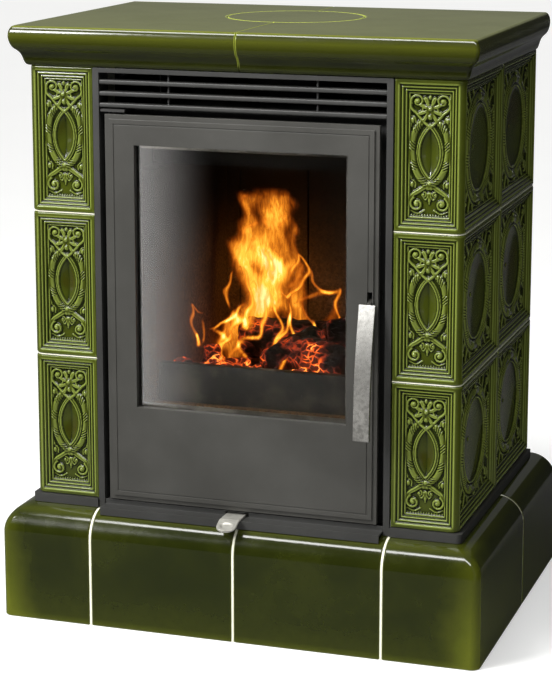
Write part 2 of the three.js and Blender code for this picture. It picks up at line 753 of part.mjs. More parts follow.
// ---- Latch and handle ----
// How far the grip's front stands before its own top, a share t of the way down.
const bow = (t) => gripBow * (1 - (1 - t) ** 2);

function buildHandle() {
  const group = new THREE.Group();
  const gripLevels = Array.from({ length: 9 }, (_, step) => step / 8);
  const gripFace = gripLevels.map((t) => [front - gripStandoff - bow(t), gripTop - t * gripLength]);
  const gripBack = gripFace.map(([y, z]) => [y + gripThickness, z]).reverse();
  place(group, 'handle_grip', prism([...gripFace, ...gripBack], 'x', gripX - gripWidth / 2,
    gripX + gripWidth / 2), brushedSteel);

  const reach = 0.12; // share of the grip that the latch plate backs
  const backOfGrip = (t) => [gripBackAtTop - bow(t) + seat, gripTop - t * gripLength];
  const armTop = pivotZ - latchPinRadius + 0.5;
  const armBottom = armTop - latchArmHeight;
  const plate = prism([
    backOfGrip(reach), [doorFace + 2, pivotZ - 17], [pivotY - 2, armBottom - 1],
    [pivotY + latchArm, armBottom], [pivotY + latchArm, armTop], [pivotY + 8, armTop],
    [pivotY + 5.5, pivotZ + 5.5], [pivotY, pivotZ + 8], [pivotY - 6, pivotZ + 6],
    backOfGrip(0),
  ], 'x', latchX - latchThickness / 2, latchX + latchThickness / 2);
  const pinHalf = latchThickness / 2 + seat + cheekThickness;
  const pin = rod(latchPinRadius, [latchX - pinHalf, pivotY, pivotZ], [latchX + pinHalf, pivotY, pivotZ]);
  place(group, 'latch_lever', plate.add(pin), bareSteel);
  return group;
}

function buildLatchBracket(group) {
  const cheekIn = latchThickness / 2 + seat;
  const cheekOut = cheekIn + cheekThickness;
  const y0 = doorBack + seat;
  const z = [pivotZ - cheekHalfHeight, pivotZ + cheekHalfHeight];
  const outer = block([latchX - cheekOut, latchX + cheekOut], [y0, y0 + lugDepth], z);
  const plateZ = [pivotZ - slotBelow - 6, pivotZ + slotAbove + 6];
  const basePlate = block([latchX - cheekOut, latchX + cheekOut], [y0, y0 + sheet], plateZ);
  const gap = block([latchX - cheekIn, latchX + cheekIn], [y0 - 1, y0 + lugDepth + 1],
    [pivotZ - slotBelow, pivotZ + slotAbove]);
  const bore = rod(latchPinRadius + turning, [latchX - cheekOut - 1, pivotY, pivotZ],
    [latchX + cheekOut + 1, pivotY, pivotZ]);
  place(group, 'latch_bracket', cutFrom(outer.add(basePlate), [gap, bore]), bareSteel);
}

// Bridge on the firebox front that the latch arm reaches under.
function buildKeeper() {
  const halfIn = latchThickness / 2 + 2.6;
  const halfOut = halfIn + keeperWall;
  const y0 = pivotY + 11.5;
  const z0 = pivotZ - latchPinRadius + 0.5 + 0.7;
  const outer = block([latchX - halfOut, latchX + halfOut], [y0, frontPlate - seat],
    [z0, z0 + keeperHeight]);
  const gap = block([latchX - halfIn, latchX + halfIn], [y0 + keeperBar, frontPlate + 1],
    [z0 - 1, z0 + keeperHeight + 1]);
  place(stove, 'latch_keeper', outer.subtract(gap), bareSteel);
}

// ---- Firebox ----
function buildFirebox() {
  const inner = fireboxInner;
  const zInner = [fireboxBottom + steelWall, fireboxTop - steelWall];
  const box = block([-fireboxHalfWidth, fireboxHalfWidth], [frontPlate, fireboxRear],
    [fireboxBottom, fireboxTop]);
  const mouth = block([-fireboxHalfWidth, fireboxHalfWidth], [mouthFront, frontPlate + 1],
    [fireboxBottom, mouthTop]);
  const bracketX = [hingeX - bracketWidth / 2, hingeX + bracketWidth / 2];
  const topBracketZ = [doorTop + 3.3, doorTop + 3.3 + bracketThickness];
  const bottomBracketZ = [doorBottom - 2.5 - bracketThickness, doorBottom - 2.5];
  const facePlate = block([-frontPlateHalfWidth, frontPlateHalfWidth],
    [frontPlate, frontPlate + steelWall], [frontPlateBottom, topBracketZ[1]]);
  const brackets = [
    block(bracketX, [front - 2, frontPlate + 1], topBracketZ),
    block(bracketX, [front + sheet + 2, frontPlate + 1], bottomBracketZ),
  ];
  const gateX = [leverOffset - gateWidth / 2 - seat, leverOffset + gateWidth / 2 + seat];
  const guideY = [frontPlate + 16, frontPlate + 16 + gateLength + leverTail];
  const lipTop = gateTop - gateThickness - seat;
  const lip = 5;
  const guides = [
    block([gateX[0] - sheet, gateX[0]], guideY, [lipTop - sheet, fireboxBottom + 1]),
    block([gateX[0] - sheet, gateX[0] + lip], guideY, [lipTop - sheet, lipTop]),
    block([gateX[1], gateX[1] + sheet], guideY, [lipTop - sheet, fireboxBottom + 1]),
    block([gateX[1] - lip, gateX[1] + sheet], guideY, [lipTop - sheet, lipTop]),
  ];
  const ledges = sides.map(([, side]) => block([side * (inner - ledgeWidth), side * (inner + 1)],
    [frontPlate + steelWall, fireboxRear - steelWall + 1], [floorLevel - steelWall, floorLevel]));
  const chamber = block([-inner, inner], [frontPlate + steelWall, fireboxRear - steelWall], zInner);
  const opening = block([-inner, inner], [mouthFront - 1, frontPlate + steelWall + 1],
    [fireboxBottom + steelWall, mouthTop - steelWall]);
  const leverNotch = block([slotOffset - slotWidth / 2, slotOffset + slotWidth / 2],
    [frontPlate - 1, frontPlate + steelWall + 1], [frontPlateBottom - 1, leverBottom + 7]);
  const topHole = rod(flueRadius - flueWall, [0, flueY, fireboxTop - 10], [0, flueY, fireboxTop + 1], 32);
  const smokeHole = block(
    [-smokeBoxHalfWidth + smokeHoleBorder, smokeBoxHalfWidth - smokeHoleBorder],
    [fireboxRear - 10, fireboxRear + 1],
    [fireboxTop - smokeBoxHeight + smokeHoleBorder, fireboxTop - smokeHoleBorder]);
  const portY = portFront() - airTravel;
  const port = block([leverOffset - portWidth / 2, leverOffset + portWidth / 2],
    [portY, portY + portLength], [fireboxBottom - 1, fireboxBottom + steelWall + 1]);
  const shell = cutFrom(joined([box, mouth, facePlate, ...brackets, ...guides]),
    [chamber, opening, leverNotch, topHole, smokeHole, port]);
  place(stove, 'firebox_body', joined([shell, ...ledges]), blackSteel);
}

// Near edge of the gate's own port, pushed in.
const portFront = () => front + leverTail + airTravel + 4;

function buildLinings() {
  const group = new THREE.Group();
  const outer = fireboxInner - seat;
  const y0 = frontPlate + steelWall + 2;
  const yBack = fireboxRear - steelWall - seat;
  const z = [hearthLevel + seat, liningTop];
  for (const [name, side] of sides) {
    place(group, `lining_${name}`, block([side * liningInner, side * outer],
      [y0, yBack - liningThickness - seat], z), fireclay);
  }
  place(group, 'lining_back', block([-outer, outer], [yBack - liningThickness, yBack], z), fireclay);
  const baffleFront = y0 + baffleThroat;
  place(group, 'baffle', block([-outer, outer], [baffleFront, yBack],
    [liningTop + seat, liningTop + seat + baffleThickness]), fireclay);

  const grateY = (y0 + yBack) / 2;
  const grateZ = hearthLevel - grateThickness;
  const rect = (halfX, halfY, zs) => block([-halfX, halfX], [grateY - halfY, grateY + halfY], zs);
  const hearth = cutFrom(block([-outer, outer], [y0, yBack], [floorLevel + seat, hearthLevel]), [
    rect(grateWidth / 2 + seat, grateLength / 2 + seat, [grateZ - seat, hearthLevel + 1]),
    rect(grateWidth / 2 - grateLap, grateLength / 2 - grateLap, [floorLevel - 1, hearthLevel]),
  ]);
  place(group, 'hearth_lining', hearth, fireclay);
  const barsAcross = grateWidth - 2 * grateLap - 2 * seat - 12;
  const slotPitch = barsAcross / grateSlots;
  const slots = Array.from({ length: grateSlots }, (_, slot) => {
    const x = -barsAcross / 2 + slotPitch * (slot + 0.5);
    return block([x - grateSlotWidth / 2, x + grateSlotWidth / 2],
      [grateY - grateLength / 2 + 24, grateY + grateLength / 2 - 24], [grateZ - 1, hearthLevel + 1]);
  });
  const grate = cutFrom(rect(grateWidth / 2, grateLength / 2, [grateZ, hearthLevel]), slots);
  place(group, 'grate', grate, castIron);

  const guardY = front + guardSetback;
  const guardZ = hearthLevel + seat;
  const guardHalf = liningInner - seat;
  const guard = prism([[guardY, guardZ], [guardY + guardFoot, guardZ], [guardY + guardFoot, guardZ + 4],
    [guardY + guardThickness, guardZ + 6], [guardY + guardThickness, guardZ + guardHeight - 5],
    [guardY + guardThickness + 6, guardZ + guardHeight], [guardY, guardZ + guardHeight]], 'x',
  -guardHalf, guardHalf);
  place(group, 'log_guard', guard, castIron);
  return group;
}

function buildAshPan() {
  const y0 = frontPlate + steelWall + 7;
  const z0 = fireboxBottom + steelWall + seat;
  const outer = block([-panHalfWidth, panHalfWidth], [y0, y0 + panLength], [z0, z0 + panHeight]);
  const inner = block([-panHalfWidth + panWall, panHalfWidth - panWall],
    [y0 + panWall, y0 + panLength - panWall], [z0 + panWall, z0 + panHeight + 1]);
  const pullHalf = 45;
  const pull = block([-pullHalf, pullHalf], [y0 - 6, y0 + 1], [z0 + panHeight - 3, z0 + panHeight]);
  place(stove, 'ash_pan', joined([outer.subtract(inner), pull]), bareSteel);
}

function buildHingePins() {
  const lowSeat = doorBottom - 2.5 + seat;
  const highSeat = doorTop + 3.3 - seat;
  place(stove, 'hinge_pin_top', rod(pinRadius, [hingeX, hingeY, doorTop - pinLength + seat],
    [hingeX, hingeY, highSeat], 16), bareSteel);
  place(stove, 'hinge_pin_bottom', rod(pinRadius, [hingeX, hingeY, lowSeat],
    [hingeX, hingeY, doorBottom + pinLength - seat], 16), bareSteel);
}

// ---- Air control ----
function buildAirControl() {
  const group = new THREE.Group();
  const z0 = leverBottom;
  const z1 = z0 + leverThickness;
  const bend = front - leverFlat;
  const tip = front - leverTip;
  const tail = front + leverTail;
  const tailTop = gateTop - gateThickness - seat;
  const side = prism([[tip, z0 - leverDrop], [bend, z0], [tail + leverThickness, z0],
    [tail + leverThickness, tailTop], [tail, tailTop], [tail, z1], [bend, z1],
    [tip, z1 - leverDrop]], 'x', leverOffset - leverWidth / 2, leverOffset + leverWidth / 2);
  const half = leverWidth / 2;
  const plan = new THREE.Shape();
  plan.absellipse(leverOffset, tip + half * 0.8, half, half * 0.8, Math.PI, 2 * Math.PI, false);
  plan.lineTo(leverOffset + half, tail + beyond);
  plan.lineTo(leverOffset - half, tail + beyond);
  place(group, 'air_lever', side.intersect(prism(plan, 'z', z0 - beyond, gateTop, 10)), brushedSteel);

  const gate = block([leverOffset - gateWidth / 2, leverOffset + gateWidth / 2],
    [tail, tail + gateLength], [gateTop - gateThickness, gateTop]);
  const port = block([leverOffset - portWidth / 2, leverOffset + portWidth / 2],
    [portFront() - 8, portFront() - 8 + portLength], [gateTop - gateThickness - 1, gateTop + 1]);
  place(group, 'air_gate', gate.subtract(port), bareSteel);
  return group;
}

// ---- Flue parts, back panel and stand ----
function buildFlue() {
  const group = new THREE.Group();
  const inner = flueRadius - flueWall;
  const z0 = fireboxTop + seat;
  const collarTop = z0 + flueCollarHeight;
  const collar = turned([[inner, z0], [flueRadius + flueFlange, z0],
    [flueRadius + flueFlange, z0 + flueWall], [flueRadius, z0 + flueWall], [flueRadius, collarTop],
    [inner, collarTop], [inner, z0]], 32).translate(0, flueY, 0);
  place(group, 'flue_collar', toSolid(collar), blackSteel);
  const capTop = collarTop + seat + sheet;
  const capInner = flueRadius + seat;
  const cap = turned([[0, collarTop + seat], [capInner, collarTop + seat],
    [capInner, capTop - blankRim], [capInner + sheet, capTop - blankRim], [capInner + sheet, capTop],
    [0, capTop]], 32).translate(0, flueY, 0);
  place(group, 'flue_blank', toSolid(cap), bareSteel);

  const boxY = [fireboxRear + seat, fireboxRear + seat + smokeBoxDepth];
  const boxZ = [fireboxTop - smokeBoxHeight, fireboxTop];
  const round = (radius, y0, y1) => rod(radius, [0, y0, rearFlueLevel], [0, y1, rearFlueLevel], 32);
  const box = block([-smokeBoxHalfWidth, smokeBoxHalfWidth], boxY, boxZ);
  const hollow = block([-smokeBoxHalfWidth + flueWall, smokeBoxHalfWidth - flueWall],
    [boxY[0] - 1, boxY[1] - flueWall], [boxZ[0] + flueWall, boxZ[1] - flueWall]);
  place(group, 'smoke_box', cutFrom(box, [hollow, round(inner, boxY[1] - 10, boxY[1] + 1)]), blackSteel);
  const stubFoot = boxY[1] + seat;
  const stub = round(flueRadius + rearFlueFlange, stubFoot, stubFoot + flueWall)
    .add(round(flueRadius, stubFoot, back + rearFlueReach));
  place(group, 'rear_flue_outlet',
    stub.subtract(round(inner, stubFoot - 1, back + rearFlueReach + 1)), blackSteel);
  return group;
}

function buildBackPanel() {
  const half = tileInner - seat;
  const y1 = back - backPanelInset;
  const y0 = y1 - backPanelSheet;
  const hole = rod(flueRadius + seat, [0, y0 - 1, rearFlueLevel], [0, y1 + 1, rearFlueLevel], 32);
  const panel = block([-half, half], [y0, y1], [tileBottom, topBottom - seat]);
  place(stove, 'back_panel', panel.subtract(hole), blackSteel);
}

function buildStand() {
  const outer = fireboxHalfWidth;
  const y0 = frontPlate + steelWall + postSetback;
  const y1 = fireboxRear - postSetback;
  const posts = [];
  for (const [, side] of sides) {
    for (const yPost of [y0, y1 - postSize]) {
      const xs = [side * (outer - postSize), side * outer];
      const ys = [yPost, yPost + postSize];
      posts.push(block(xs, ys, [0, fireboxBottom - seat]));
      const grow = (footSize - postSize) / 2;
      posts.push(block([xs[0] - side * grow, xs[1] + side * grow], [ys[0] - grow, ys[1] + grow],
        [0, footThickness]));
    }
  }
  const railZ = [baseHeight - railDrop, baseHeight - railDrop + railSize];
  const rails = [
    ...sides.map(([, side]) => block([side * (outer - railSize - 5), side * (outer - 5)], [y0, y1], railZ)),
    block([-outer + 5, outer - 5], [y0 + 5, y0 + 5 + railSize], railZ),
    block([-outer + 5, outer - 5], [y1 - 5 - railSize, y1 - 5], railZ),
  ];
  place(stove, 'base_stand', joined([...posts, ...rails]), blackSteel);
}

const door = buildDoor();
buildLatchBracket(door);
door.add(buildHandle());
stove.add(buildBase(), buildTiles(), buildTop(), door, buildLinings(), buildAirControl(), buildFlue());
buildTray();
buildFrontFrame();
buildGrille();
buildSill();
buildKeeper();
buildFirebox();
buildAshPan();
buildHingePins();
buildBackPanel();
buildStand();

export default stove;
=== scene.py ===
import json
import math
import bmesh
import bpy
import numpy as np
from mathutils import Euler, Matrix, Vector, noise

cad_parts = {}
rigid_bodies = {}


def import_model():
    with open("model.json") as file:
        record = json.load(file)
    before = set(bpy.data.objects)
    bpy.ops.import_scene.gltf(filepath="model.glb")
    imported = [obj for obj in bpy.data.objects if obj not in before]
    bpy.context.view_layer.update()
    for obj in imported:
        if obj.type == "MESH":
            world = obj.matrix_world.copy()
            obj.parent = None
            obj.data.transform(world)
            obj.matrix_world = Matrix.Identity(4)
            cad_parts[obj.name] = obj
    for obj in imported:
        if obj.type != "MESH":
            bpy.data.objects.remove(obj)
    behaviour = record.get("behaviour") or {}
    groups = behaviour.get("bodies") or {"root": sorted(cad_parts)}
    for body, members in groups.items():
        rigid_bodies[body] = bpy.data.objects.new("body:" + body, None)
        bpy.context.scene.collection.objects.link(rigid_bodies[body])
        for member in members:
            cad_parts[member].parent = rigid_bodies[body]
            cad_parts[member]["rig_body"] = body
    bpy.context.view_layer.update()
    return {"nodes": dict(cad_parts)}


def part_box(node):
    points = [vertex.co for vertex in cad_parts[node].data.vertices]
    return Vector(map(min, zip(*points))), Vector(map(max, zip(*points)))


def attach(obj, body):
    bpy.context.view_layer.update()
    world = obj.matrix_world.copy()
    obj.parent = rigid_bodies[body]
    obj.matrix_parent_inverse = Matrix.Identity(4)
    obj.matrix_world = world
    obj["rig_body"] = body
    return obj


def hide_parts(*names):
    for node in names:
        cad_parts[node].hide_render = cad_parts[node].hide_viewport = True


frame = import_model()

nodes = frame["nodes"]
mm = 0.001
sides = (("left", -1), ("right", 1))
print("frame loaded:", len(nodes), "nodes")


class Wire:  # one output of a node, which takes part in plain sums
    def __init__(self, finish, socket):
        self.finish = finish
        self.socket = socket

    def sum(self, operation, first, second):
        return self.finish.node("ShaderNodeMath", {"operation": operation}, {0: first, 1: second})

    def __add__(self, other):
        return self.sum("ADD", self, other)

    def __radd__(self, other):
        return self.sum("ADD", other, self)

    def __sub__(self, other):
        return self.sum("SUBTRACT", self, other)

    def __rsub__(self, other):
        return self.sum("SUBTRACT", other, self)

    def __mul__(self, other):
        return self.sum("MULTIPLY", self, other)

    def __rmul__(self, other):
        return self.sum("MULTIPLY", other, self)

    def __truediv__(self, other):
        return self.sum("DIVIDE", self, other)

    def __pow__(self, other):
        return self.sum("POWER", self, other)

    def least(self, other):
        return self.sum("MINIMUM", self, other)

    def most(self, other):
        return self.sum("MAXIMUM", self, other)

    def clipped(self):
        return self.finish.node("ShaderNodeClamp", None, {"Value": self})


class Finish:  # a material with its Principled shader and short ways to its nodes
    def __init__(self, name, slot, constants=None):
        self.material = bpy.data.materials.new(name)
        self.material.use_nodes = True
        self.slot = slot
        self.tree = self.material.node_tree
        self.shader = self.tree.nodes["Principled BSDF"]
        self.surface(constants or {})

    def feed(self, socket, value):
        if isinstance(value, Wire):
            self.tree.links.new(value.socket, socket)
        else:
            socket.default_value = value

    def surface(self, values):
        for key, value in values.items():
            self.feed(self.shader.inputs[key], value)

    def node(self, kind, settings=None, inputs=None, output=0):
        made = self.tree.nodes.new(kind)
        for key, value in (settings or {}).items():
            if key == "stops":
                setStops(made.color_ramp, value)
            else:
                setattr(made, key, value)
        for key, value in (inputs or {}).items():
            self.feed(made.inputs[key], value)
        return Wire(self, made.outputs[output])

    def place(self):  # coordinates in metres that move with the piece
        return self.node("ShaderNodeTexCoord", None, None, "Object")

    def stretched(self, scale):
        return self.node("ShaderNodeMapping", None, {"Vector": self.place(), "Scale": scale})

    def noise(self, scale, detail=2.0, roughness=0.5, vector=None, distortion=0.0):
        return self.node("ShaderNodeTexNoise", None, {
            "Vector": vector or self.place(), "Scale": scale, "Detail": detail,
            "Roughness": roughness, "Distortion": distortion})

    def axis(self, which):
        return self.node("ShaderNodeSeparateXYZ", None, {0: self.place()}, which)

    def painted(self, name):  # a value kept in the mesh
        return self.node("ShaderNodeAttribute", {"attribute_name": name}, None, "Fac")

    def ramp(self, value, stops):
        return self.node("ShaderNodeValToRGB", {"stops": stops}, {"Fac": value})

    def between(self, value, low, high):  # 0 under low, 1 over high
        return self.node("ShaderNodeMapRange", {"interpolation_type": "SMOOTHSTEP"}, {
            "Value": value, "From Min": low, "From Max": high})

    def mix(self, factor, first, second):
        return self.node("ShaderNodeMix", {"data_type": "RGBA"}, {0: factor, 6: first, 7: second}, 2)

    def bump(self, height, strength, distance=0.001):
        return self.node("ShaderNodeBump", None, {
            "Height": height, "Strength": strength, "Distance": distance})


def setStops(ramp, stops):
    ramp.elements[0].position = stops[0][0]
    ramp.elements[0].color = stops[0][1]
    ramp.elements.remove(ramp.elements[1])
    for position, colour in stops[1:]:
        ramp.elements.new(position).color = colour


def hue(code):  # "8a9a3c" as it is seen, turned into the linear colour of a socket
    parts = [int(code[i:i + 2], 16) / 255 for i in (0, 2, 4)]
    linear = [c / 12.92 if c <= 0.04045 else ((c + 0.055) / 1.055) ** 2.4 for c in parts]
    return (*linear, 1.0)


def linked(name, data):  # a new object in the scene
    made = bpy.data.objects.new(name, data)
    bpy.context.scene.collection.objects.link(made)
    return made


viewpoint = {
    "target": (-0.02486, 0.0, 0.51706),
    "turn": 0.3207,  # to the right of the front, radians
    "rise": 0.1981,
    "sensor": 36,
    "farthest": 100,
    "distance": 3.51216,
    "lens": 118.49,
    "shift": -0.0994,
}


def makeCamera(settings):
    camera = linked("camera", bpy.data.cameras.new("camera"))
    turn = settings["turn"]
    rise = settings["rise"]
    back = Vector((math.sin(turn) * math.cos(rise), -math.cos(turn) * math.cos(rise), math.sin(rise)))
    camera.location = Vector(settings["target"]) + back * settings["distance"]
    camera.rotation_euler = back.to_track_quat("Z", "Y").to_euler()
    camera.data.sensor_width = settings["sensor"]
    camera.data.lens = settings["lens"]
    camera.data.shift_y = settings["shift"]
    camera.data.clip_end = settings["farthest"]
    bpy.context.scene.camera = camera


makeCamera(viewpoint)
print("camera set")


def newPiece(name, points, faces, finish, body="stove", replaced=()):
    mesh = bpy.data.meshes.new(name)
    mesh.from_pydata([tuple(p) for p in points], [], faces)
    mesh.validate()
    mesh.update()
    return dress(linked(name, mesh), finish, body, replaced)


def dress(made, finish, body="stove", replaced=()):
    made.data.materials.clear()
    made.data.materials.append(finish.material)
    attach(made, body)
    if replaced:
        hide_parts(*replaced)
    return made


def paint(made, name, values):  # keeps one number for each point of the mesh
    layer = made.data.attributes.new(name, "FLOAT", "POINT")
    layer.data.foreach_set("value", np.asarray(values, np.float32).ravel())


def settle(made):  # turns the modifiers into mesh
    depsgraph = bpy.context.evaluated_depsgraph_get()
    settled = bpy.data.meshes.new_from_object(made.evaluated_get(depsgraph))
    made.modifiers.clear()
    made.data = settled


def smoothed(made):
    made.data.polygons.foreach_set("use_smooth", [True] * len(made.data.polygons))


def softShade(made, angle):  # smooth over the eased edges, flat normals on the large faces
    smoothed(made)
    made.data.set_sharp_from_angle(angle=math.radians(angle))
    step = made.modifiers.new("weighted", "WEIGHTED_NORMAL")
    step.keep_sharp = True
    bpy.context.view_layer.update()
    settle(made)


def tubeFaces(rings, count):  # quads between rings of count points each
    faces = []
    for low in range(0, (rings - 1) * count, count):
        for k in range(count):
            n = (k + 1) % count
            faces.append([low + k, low + n, low + count + n, low + count + k])
    return faces


def gridCells(index):  # the four corners of every cell
    return np.stack([index[:-1, :-1], index[1:, :-1], index[1:, 1:], index[:-1, 1:]], -1)


def hump(distance, reach):  # 1 in the middle, 0 from reach on
    return np.clip(1 - (distance / reach) ** 2, 0, 1)


def smoothLine(points, steps=6):  # Catmull-Rom through the points
    known = [np.array(p, float) for p in points]
    count = len(known)
    line = []
    for i in range(count - 1):
        b, c = known[i], known[i + 1]
        a = known[i - 1] if i else 2 * b - c
        d = known[i + 2] if i + 2 < count else 2 * c - b
        for k in range(steps):
            t = k / steps
            line.append(0.5 * (2 * b + (c - a) * t + (2 * a - 5 * b + 4 * c - d) * t ** 2
                               + (3 * b - a - 3 * c + d) * t ** 3))
    line.append(known[-1])
    return np.array(line)


def blurred(field, reach):  # soft average over about reach samples each way
    size = int(2 * reach)
    weights = [math.exp(-0.5 * (k / reach) ** 2) for k in range(-size, size + 1)]
    total = sum(weights)
    for axis in (0, 1):
        grown = np.pad(field, [(size, size) if a == axis else (0, 0) for a in (0, 1)], "edge")
        length = field.shape[axis]
        field = sum(w / total * np.take(grown, range(k, k + length), axis)
                    for k, w in enumerate(weights))
    return field


def spiral(centre, radius, turns, start, way=1, steps=40):  # from outside to the middle
    t = np.linspace(0, 1, steps)
    angle = math.radians(start) + way * turns * 2 * math.pi * t
    reach = radius * (1 - 0.82 * t)
    return np.stack([centre[0] + reach * np.cos(angle), centre[1] + reach * np.sin(angle)], 1)


tile = {
    "height": 220.0,
    "pitch": 222.0,
    "lowest": 192.0,
    "face": -240.0,
    "halfWidth": 336.0,
    "doorSide": 232.0,  # inner edge of a corner tile
    "seam": -1.0,  # rear edge of a corner tile
    "cornerRadius": 14.0,
    "thickness": 26.0,
    "field": -11.0,
    "rooted": 0.6,  # how far the ornament starts under the field
    "sideLength": 239.0,
    "rows": 3,
    "moulding": [(0, 0), (6.3, 0), (7.4, -0.6), (8.8, -3.6), (9.8, -3.6), (11.4, -1.5), (12.8, -3.6),
                 (13.6, -5.4), (15, -5.4), (16.4, -3.2), (17.6, -5.6), (18.4, -8.4), (19.4, -8.4),
                 (20.4, -6.2), (21.4, -7.6), (22.6, -11)],
}


class Relief:  # heights over one leaf of a tile, millimetres from the leaf's middle
    def __init__(self, x, y, height):
        self.x = x
        self.y = y
        self.height = height

    def raiseTo(self, near, level):
        self.height[near] = np.maximum(self.height[near], level)

    def follow(self, points, reach):  # distance from a line, and how far along it
        low = points.min(0) - reach
        high = points.max(0) + reach
        near = (self.x > low[0]) & (self.x < high[0]) & (self.y > low[1]) & (self.y < high[1])
        px = self.x[near]
        py = self.y[near]
        best = np.full(px.shape, 1e9)
        along = np.zeros(px.shape)
        beside = np.zeros(px.shape)
        start = 0.0
        for a, b in zip(points[:-1], points[1:]):
            step = b - a
            length = float(np.hypot(*step))
            if length < 1e-6:
                continue
            t = np.clip(((px - a[0]) * step[0] + (py - a[1]) * step[1]) / length ** 2, 0, 1)
            dx = px - a[0] - t * step[0]
            dy = py - a[1] - t * step[1]
            distance = np.hypot(dx, dy)
            closer = distance < best
            best = np.where(closer, distance, best)
            along = np.where(closer, start + t * length, along)
            beside = np.where(closer, (step[0] * dy - step[1] * dx) / length, beside)
            start += length
        return near, best, along, beside, start

    def stroke(self, points, width, rise, base, taper=(1, 1), ribs=0.0, pitch=4.0, slant=0.0,
               groups=0.0, hollow=0.0):
        points = np.asarray(points, float)
        near, distance, along, beside, total = self.follow(points, width)
        share = along / max(total, 1e-6)
        half = width / 2 * (taper[0] + (taper[1] - taper[0]) * share)
        k = hump(distance, half)
        level = rise * k ** 0.55
        level -= hollow * hump(distance, 0.55 * half)
        if ribs:
            wave = np.sin(2 * math.pi * (along + slant * beside) / pitch)
            strength = 1.0 if not groups else np.clip(0.35 + 1.4 * np.sin(2 * math.pi * along / groups), 0, 1)
            level += ribs * wave * strength * k ** 0.5
        self.raiseTo(near, np.where(k > 0, base + level, -99))

    def ball(self, centre, across, up, rise, base):
        k = 1 - ((self.x - centre[0]) / across) ** 2 - ((self.y - centre[1]) / up) ** 2
        near = k > 0
        self.raiseTo(near, base + rise * k[near] ** 0.5)

    def curl(self, centre, radius, turns, start, way, width, rise, base, seed):
        self.stroke(spiral(centre, radius, turns, start, way), width, rise, base, (1, 0.7), hollow=0.7)
        self.ball(centre, seed, seed, rise + 1, base)


def frontOrnament(relief):  # scrolls, crossing ribbons and a pointed oval
    base = tile["field"] - tile["rooted"]
    for side in (-1, 1):
        def at(points, side=side):
            return smoothLine([(side * x, y) for x, y in points])
        ribbon = at([(14.7, 46), (20, 38.7), (24, 29.8), (26, 18.6), (26.3, 5), (25.1, -4), (24, -11.3),
                     (20.9, -21), (16.2, -29.9), (10, -36.6), (3.9, -41.8), (-2, -45)])
        relief.stroke(ribbon, 10.5, 5.2, base, ribs=2.0, pitch=4.4, slant=side * 0.9, groups=28)
        tail = at([(3, -43.5), (8.5, -46.3), (16.2, -51.5), (24, -56.7), (28.2, -62.5)])
        relief.stroke(tail, 8, 5, base, (1, 0.8), hollow=1.2)
        relief.curl((side * 18.5, -70), 10.2, 1.35, 62 if side > 0 else 118, -side, 4.6, 5.2, base, 4.6)
        arm = at([(28.4, 80), (28.8, 70), (25, 64.5), (20, 60.5), (11.6, 50.6), (4, 44), (0, 41)])
        relief.stroke(arm, 5, 5.4, base, (0.8, 1), hollow=0.8)
        relief.curl((side * 18.5, 78), 10.2, 1.35, -20 if side > 0 else 200, side, 4.4, 5.4, base, 4.2)
        relief.stroke(at([(9.5, 70), (12, 64), (15, 60)]), 4.5, 4.4, base, (1, 0.4))
        for x, y, tilt, size in ((11, 71, 30, 9), (12, 61, -10, 9), (6, 79, 62, 9), (7.5, 53, -50, 8)):
            turn = math.radians(tilt)
            petal = at([(0.3 * x, 66 + 0.3 * (y - 66)), (x, y),
                        (x + size * 0.3 * math.cos(turn), y + size * 0.3 * math.sin(turn))])
            relief.stroke(petal, 7.4, 6, base, (0.7, 0.85), hollow=1.6)
        relief.ball((side * 25.8, 50.5), 3.8, 5, 4.4, base)
        relief.stroke(at([(27.5, 57), (22.5, 54), (21, 47.5)]), 3, 3.2, base, (0.4, 1))
        relief.stroke(at([(28, 40), (27.6, 46)]), 3.4, 3.4, base, (0.3, 1))
        relief.ball((side * 25.8, -42), 3.6, 4.8, 4.2, base)
        relief.stroke(at([(28.5, -34), (25.5, -35.5), (20.8, -39.5), (21, -46)]), 3, 3.2, base, (0.4, 1))
        relief.stroke(at([(28.3, -27), (27, -33)]), 3.2, 3.2, base, (0.4, 1))
        relief.curl((side * 8.6, -56.5), 4.6, 1.1, 80, side, 2.8, 3.6, base, 2)
        relief.stroke(at([(2, -58), (5.5, -64), (9, -61)]), 3, 3.4, base, (1, 0.4))
        relief.stroke(at([(2.5, 77), (5, 82.5), (9, 81.5)]), 3.2, 4.6, base, (1, 0.5))
        relief.ball((side * 27.8, -80), 2.2, 2.2, 2.6, base)
        relief.stroke(at([(7, -79), (17, -84), (27, -80)]), 2.6, 2.4, base)
    relief.ball((0.6, 67.3), 4.6, 4.6, 7.4, base)
    relief.ball((0, 83.4), 3, 4.4, 5.4, base)
    relief.ball((0, 56), 4.6, 5.2, 6, base)
    relief.ball((0.6, -40), 5.2, 5, 6.4, base)
    relief.stroke([(0, -56), (0, -70)], 8.5, 4, base, (1, 0.2), hollow=1)
    oval(relief)
    for x in np.arange(-26, 27, 4.0):
        relief.ball((x, -86.3), 1.5, 1.2, 2.4, tile["field"])


almond = {"halfWide": 15.6, "halfHigh": 37.0, "middle": 4.0, "lip": 1.2, "brim": -8.4, "depth": 8.2}


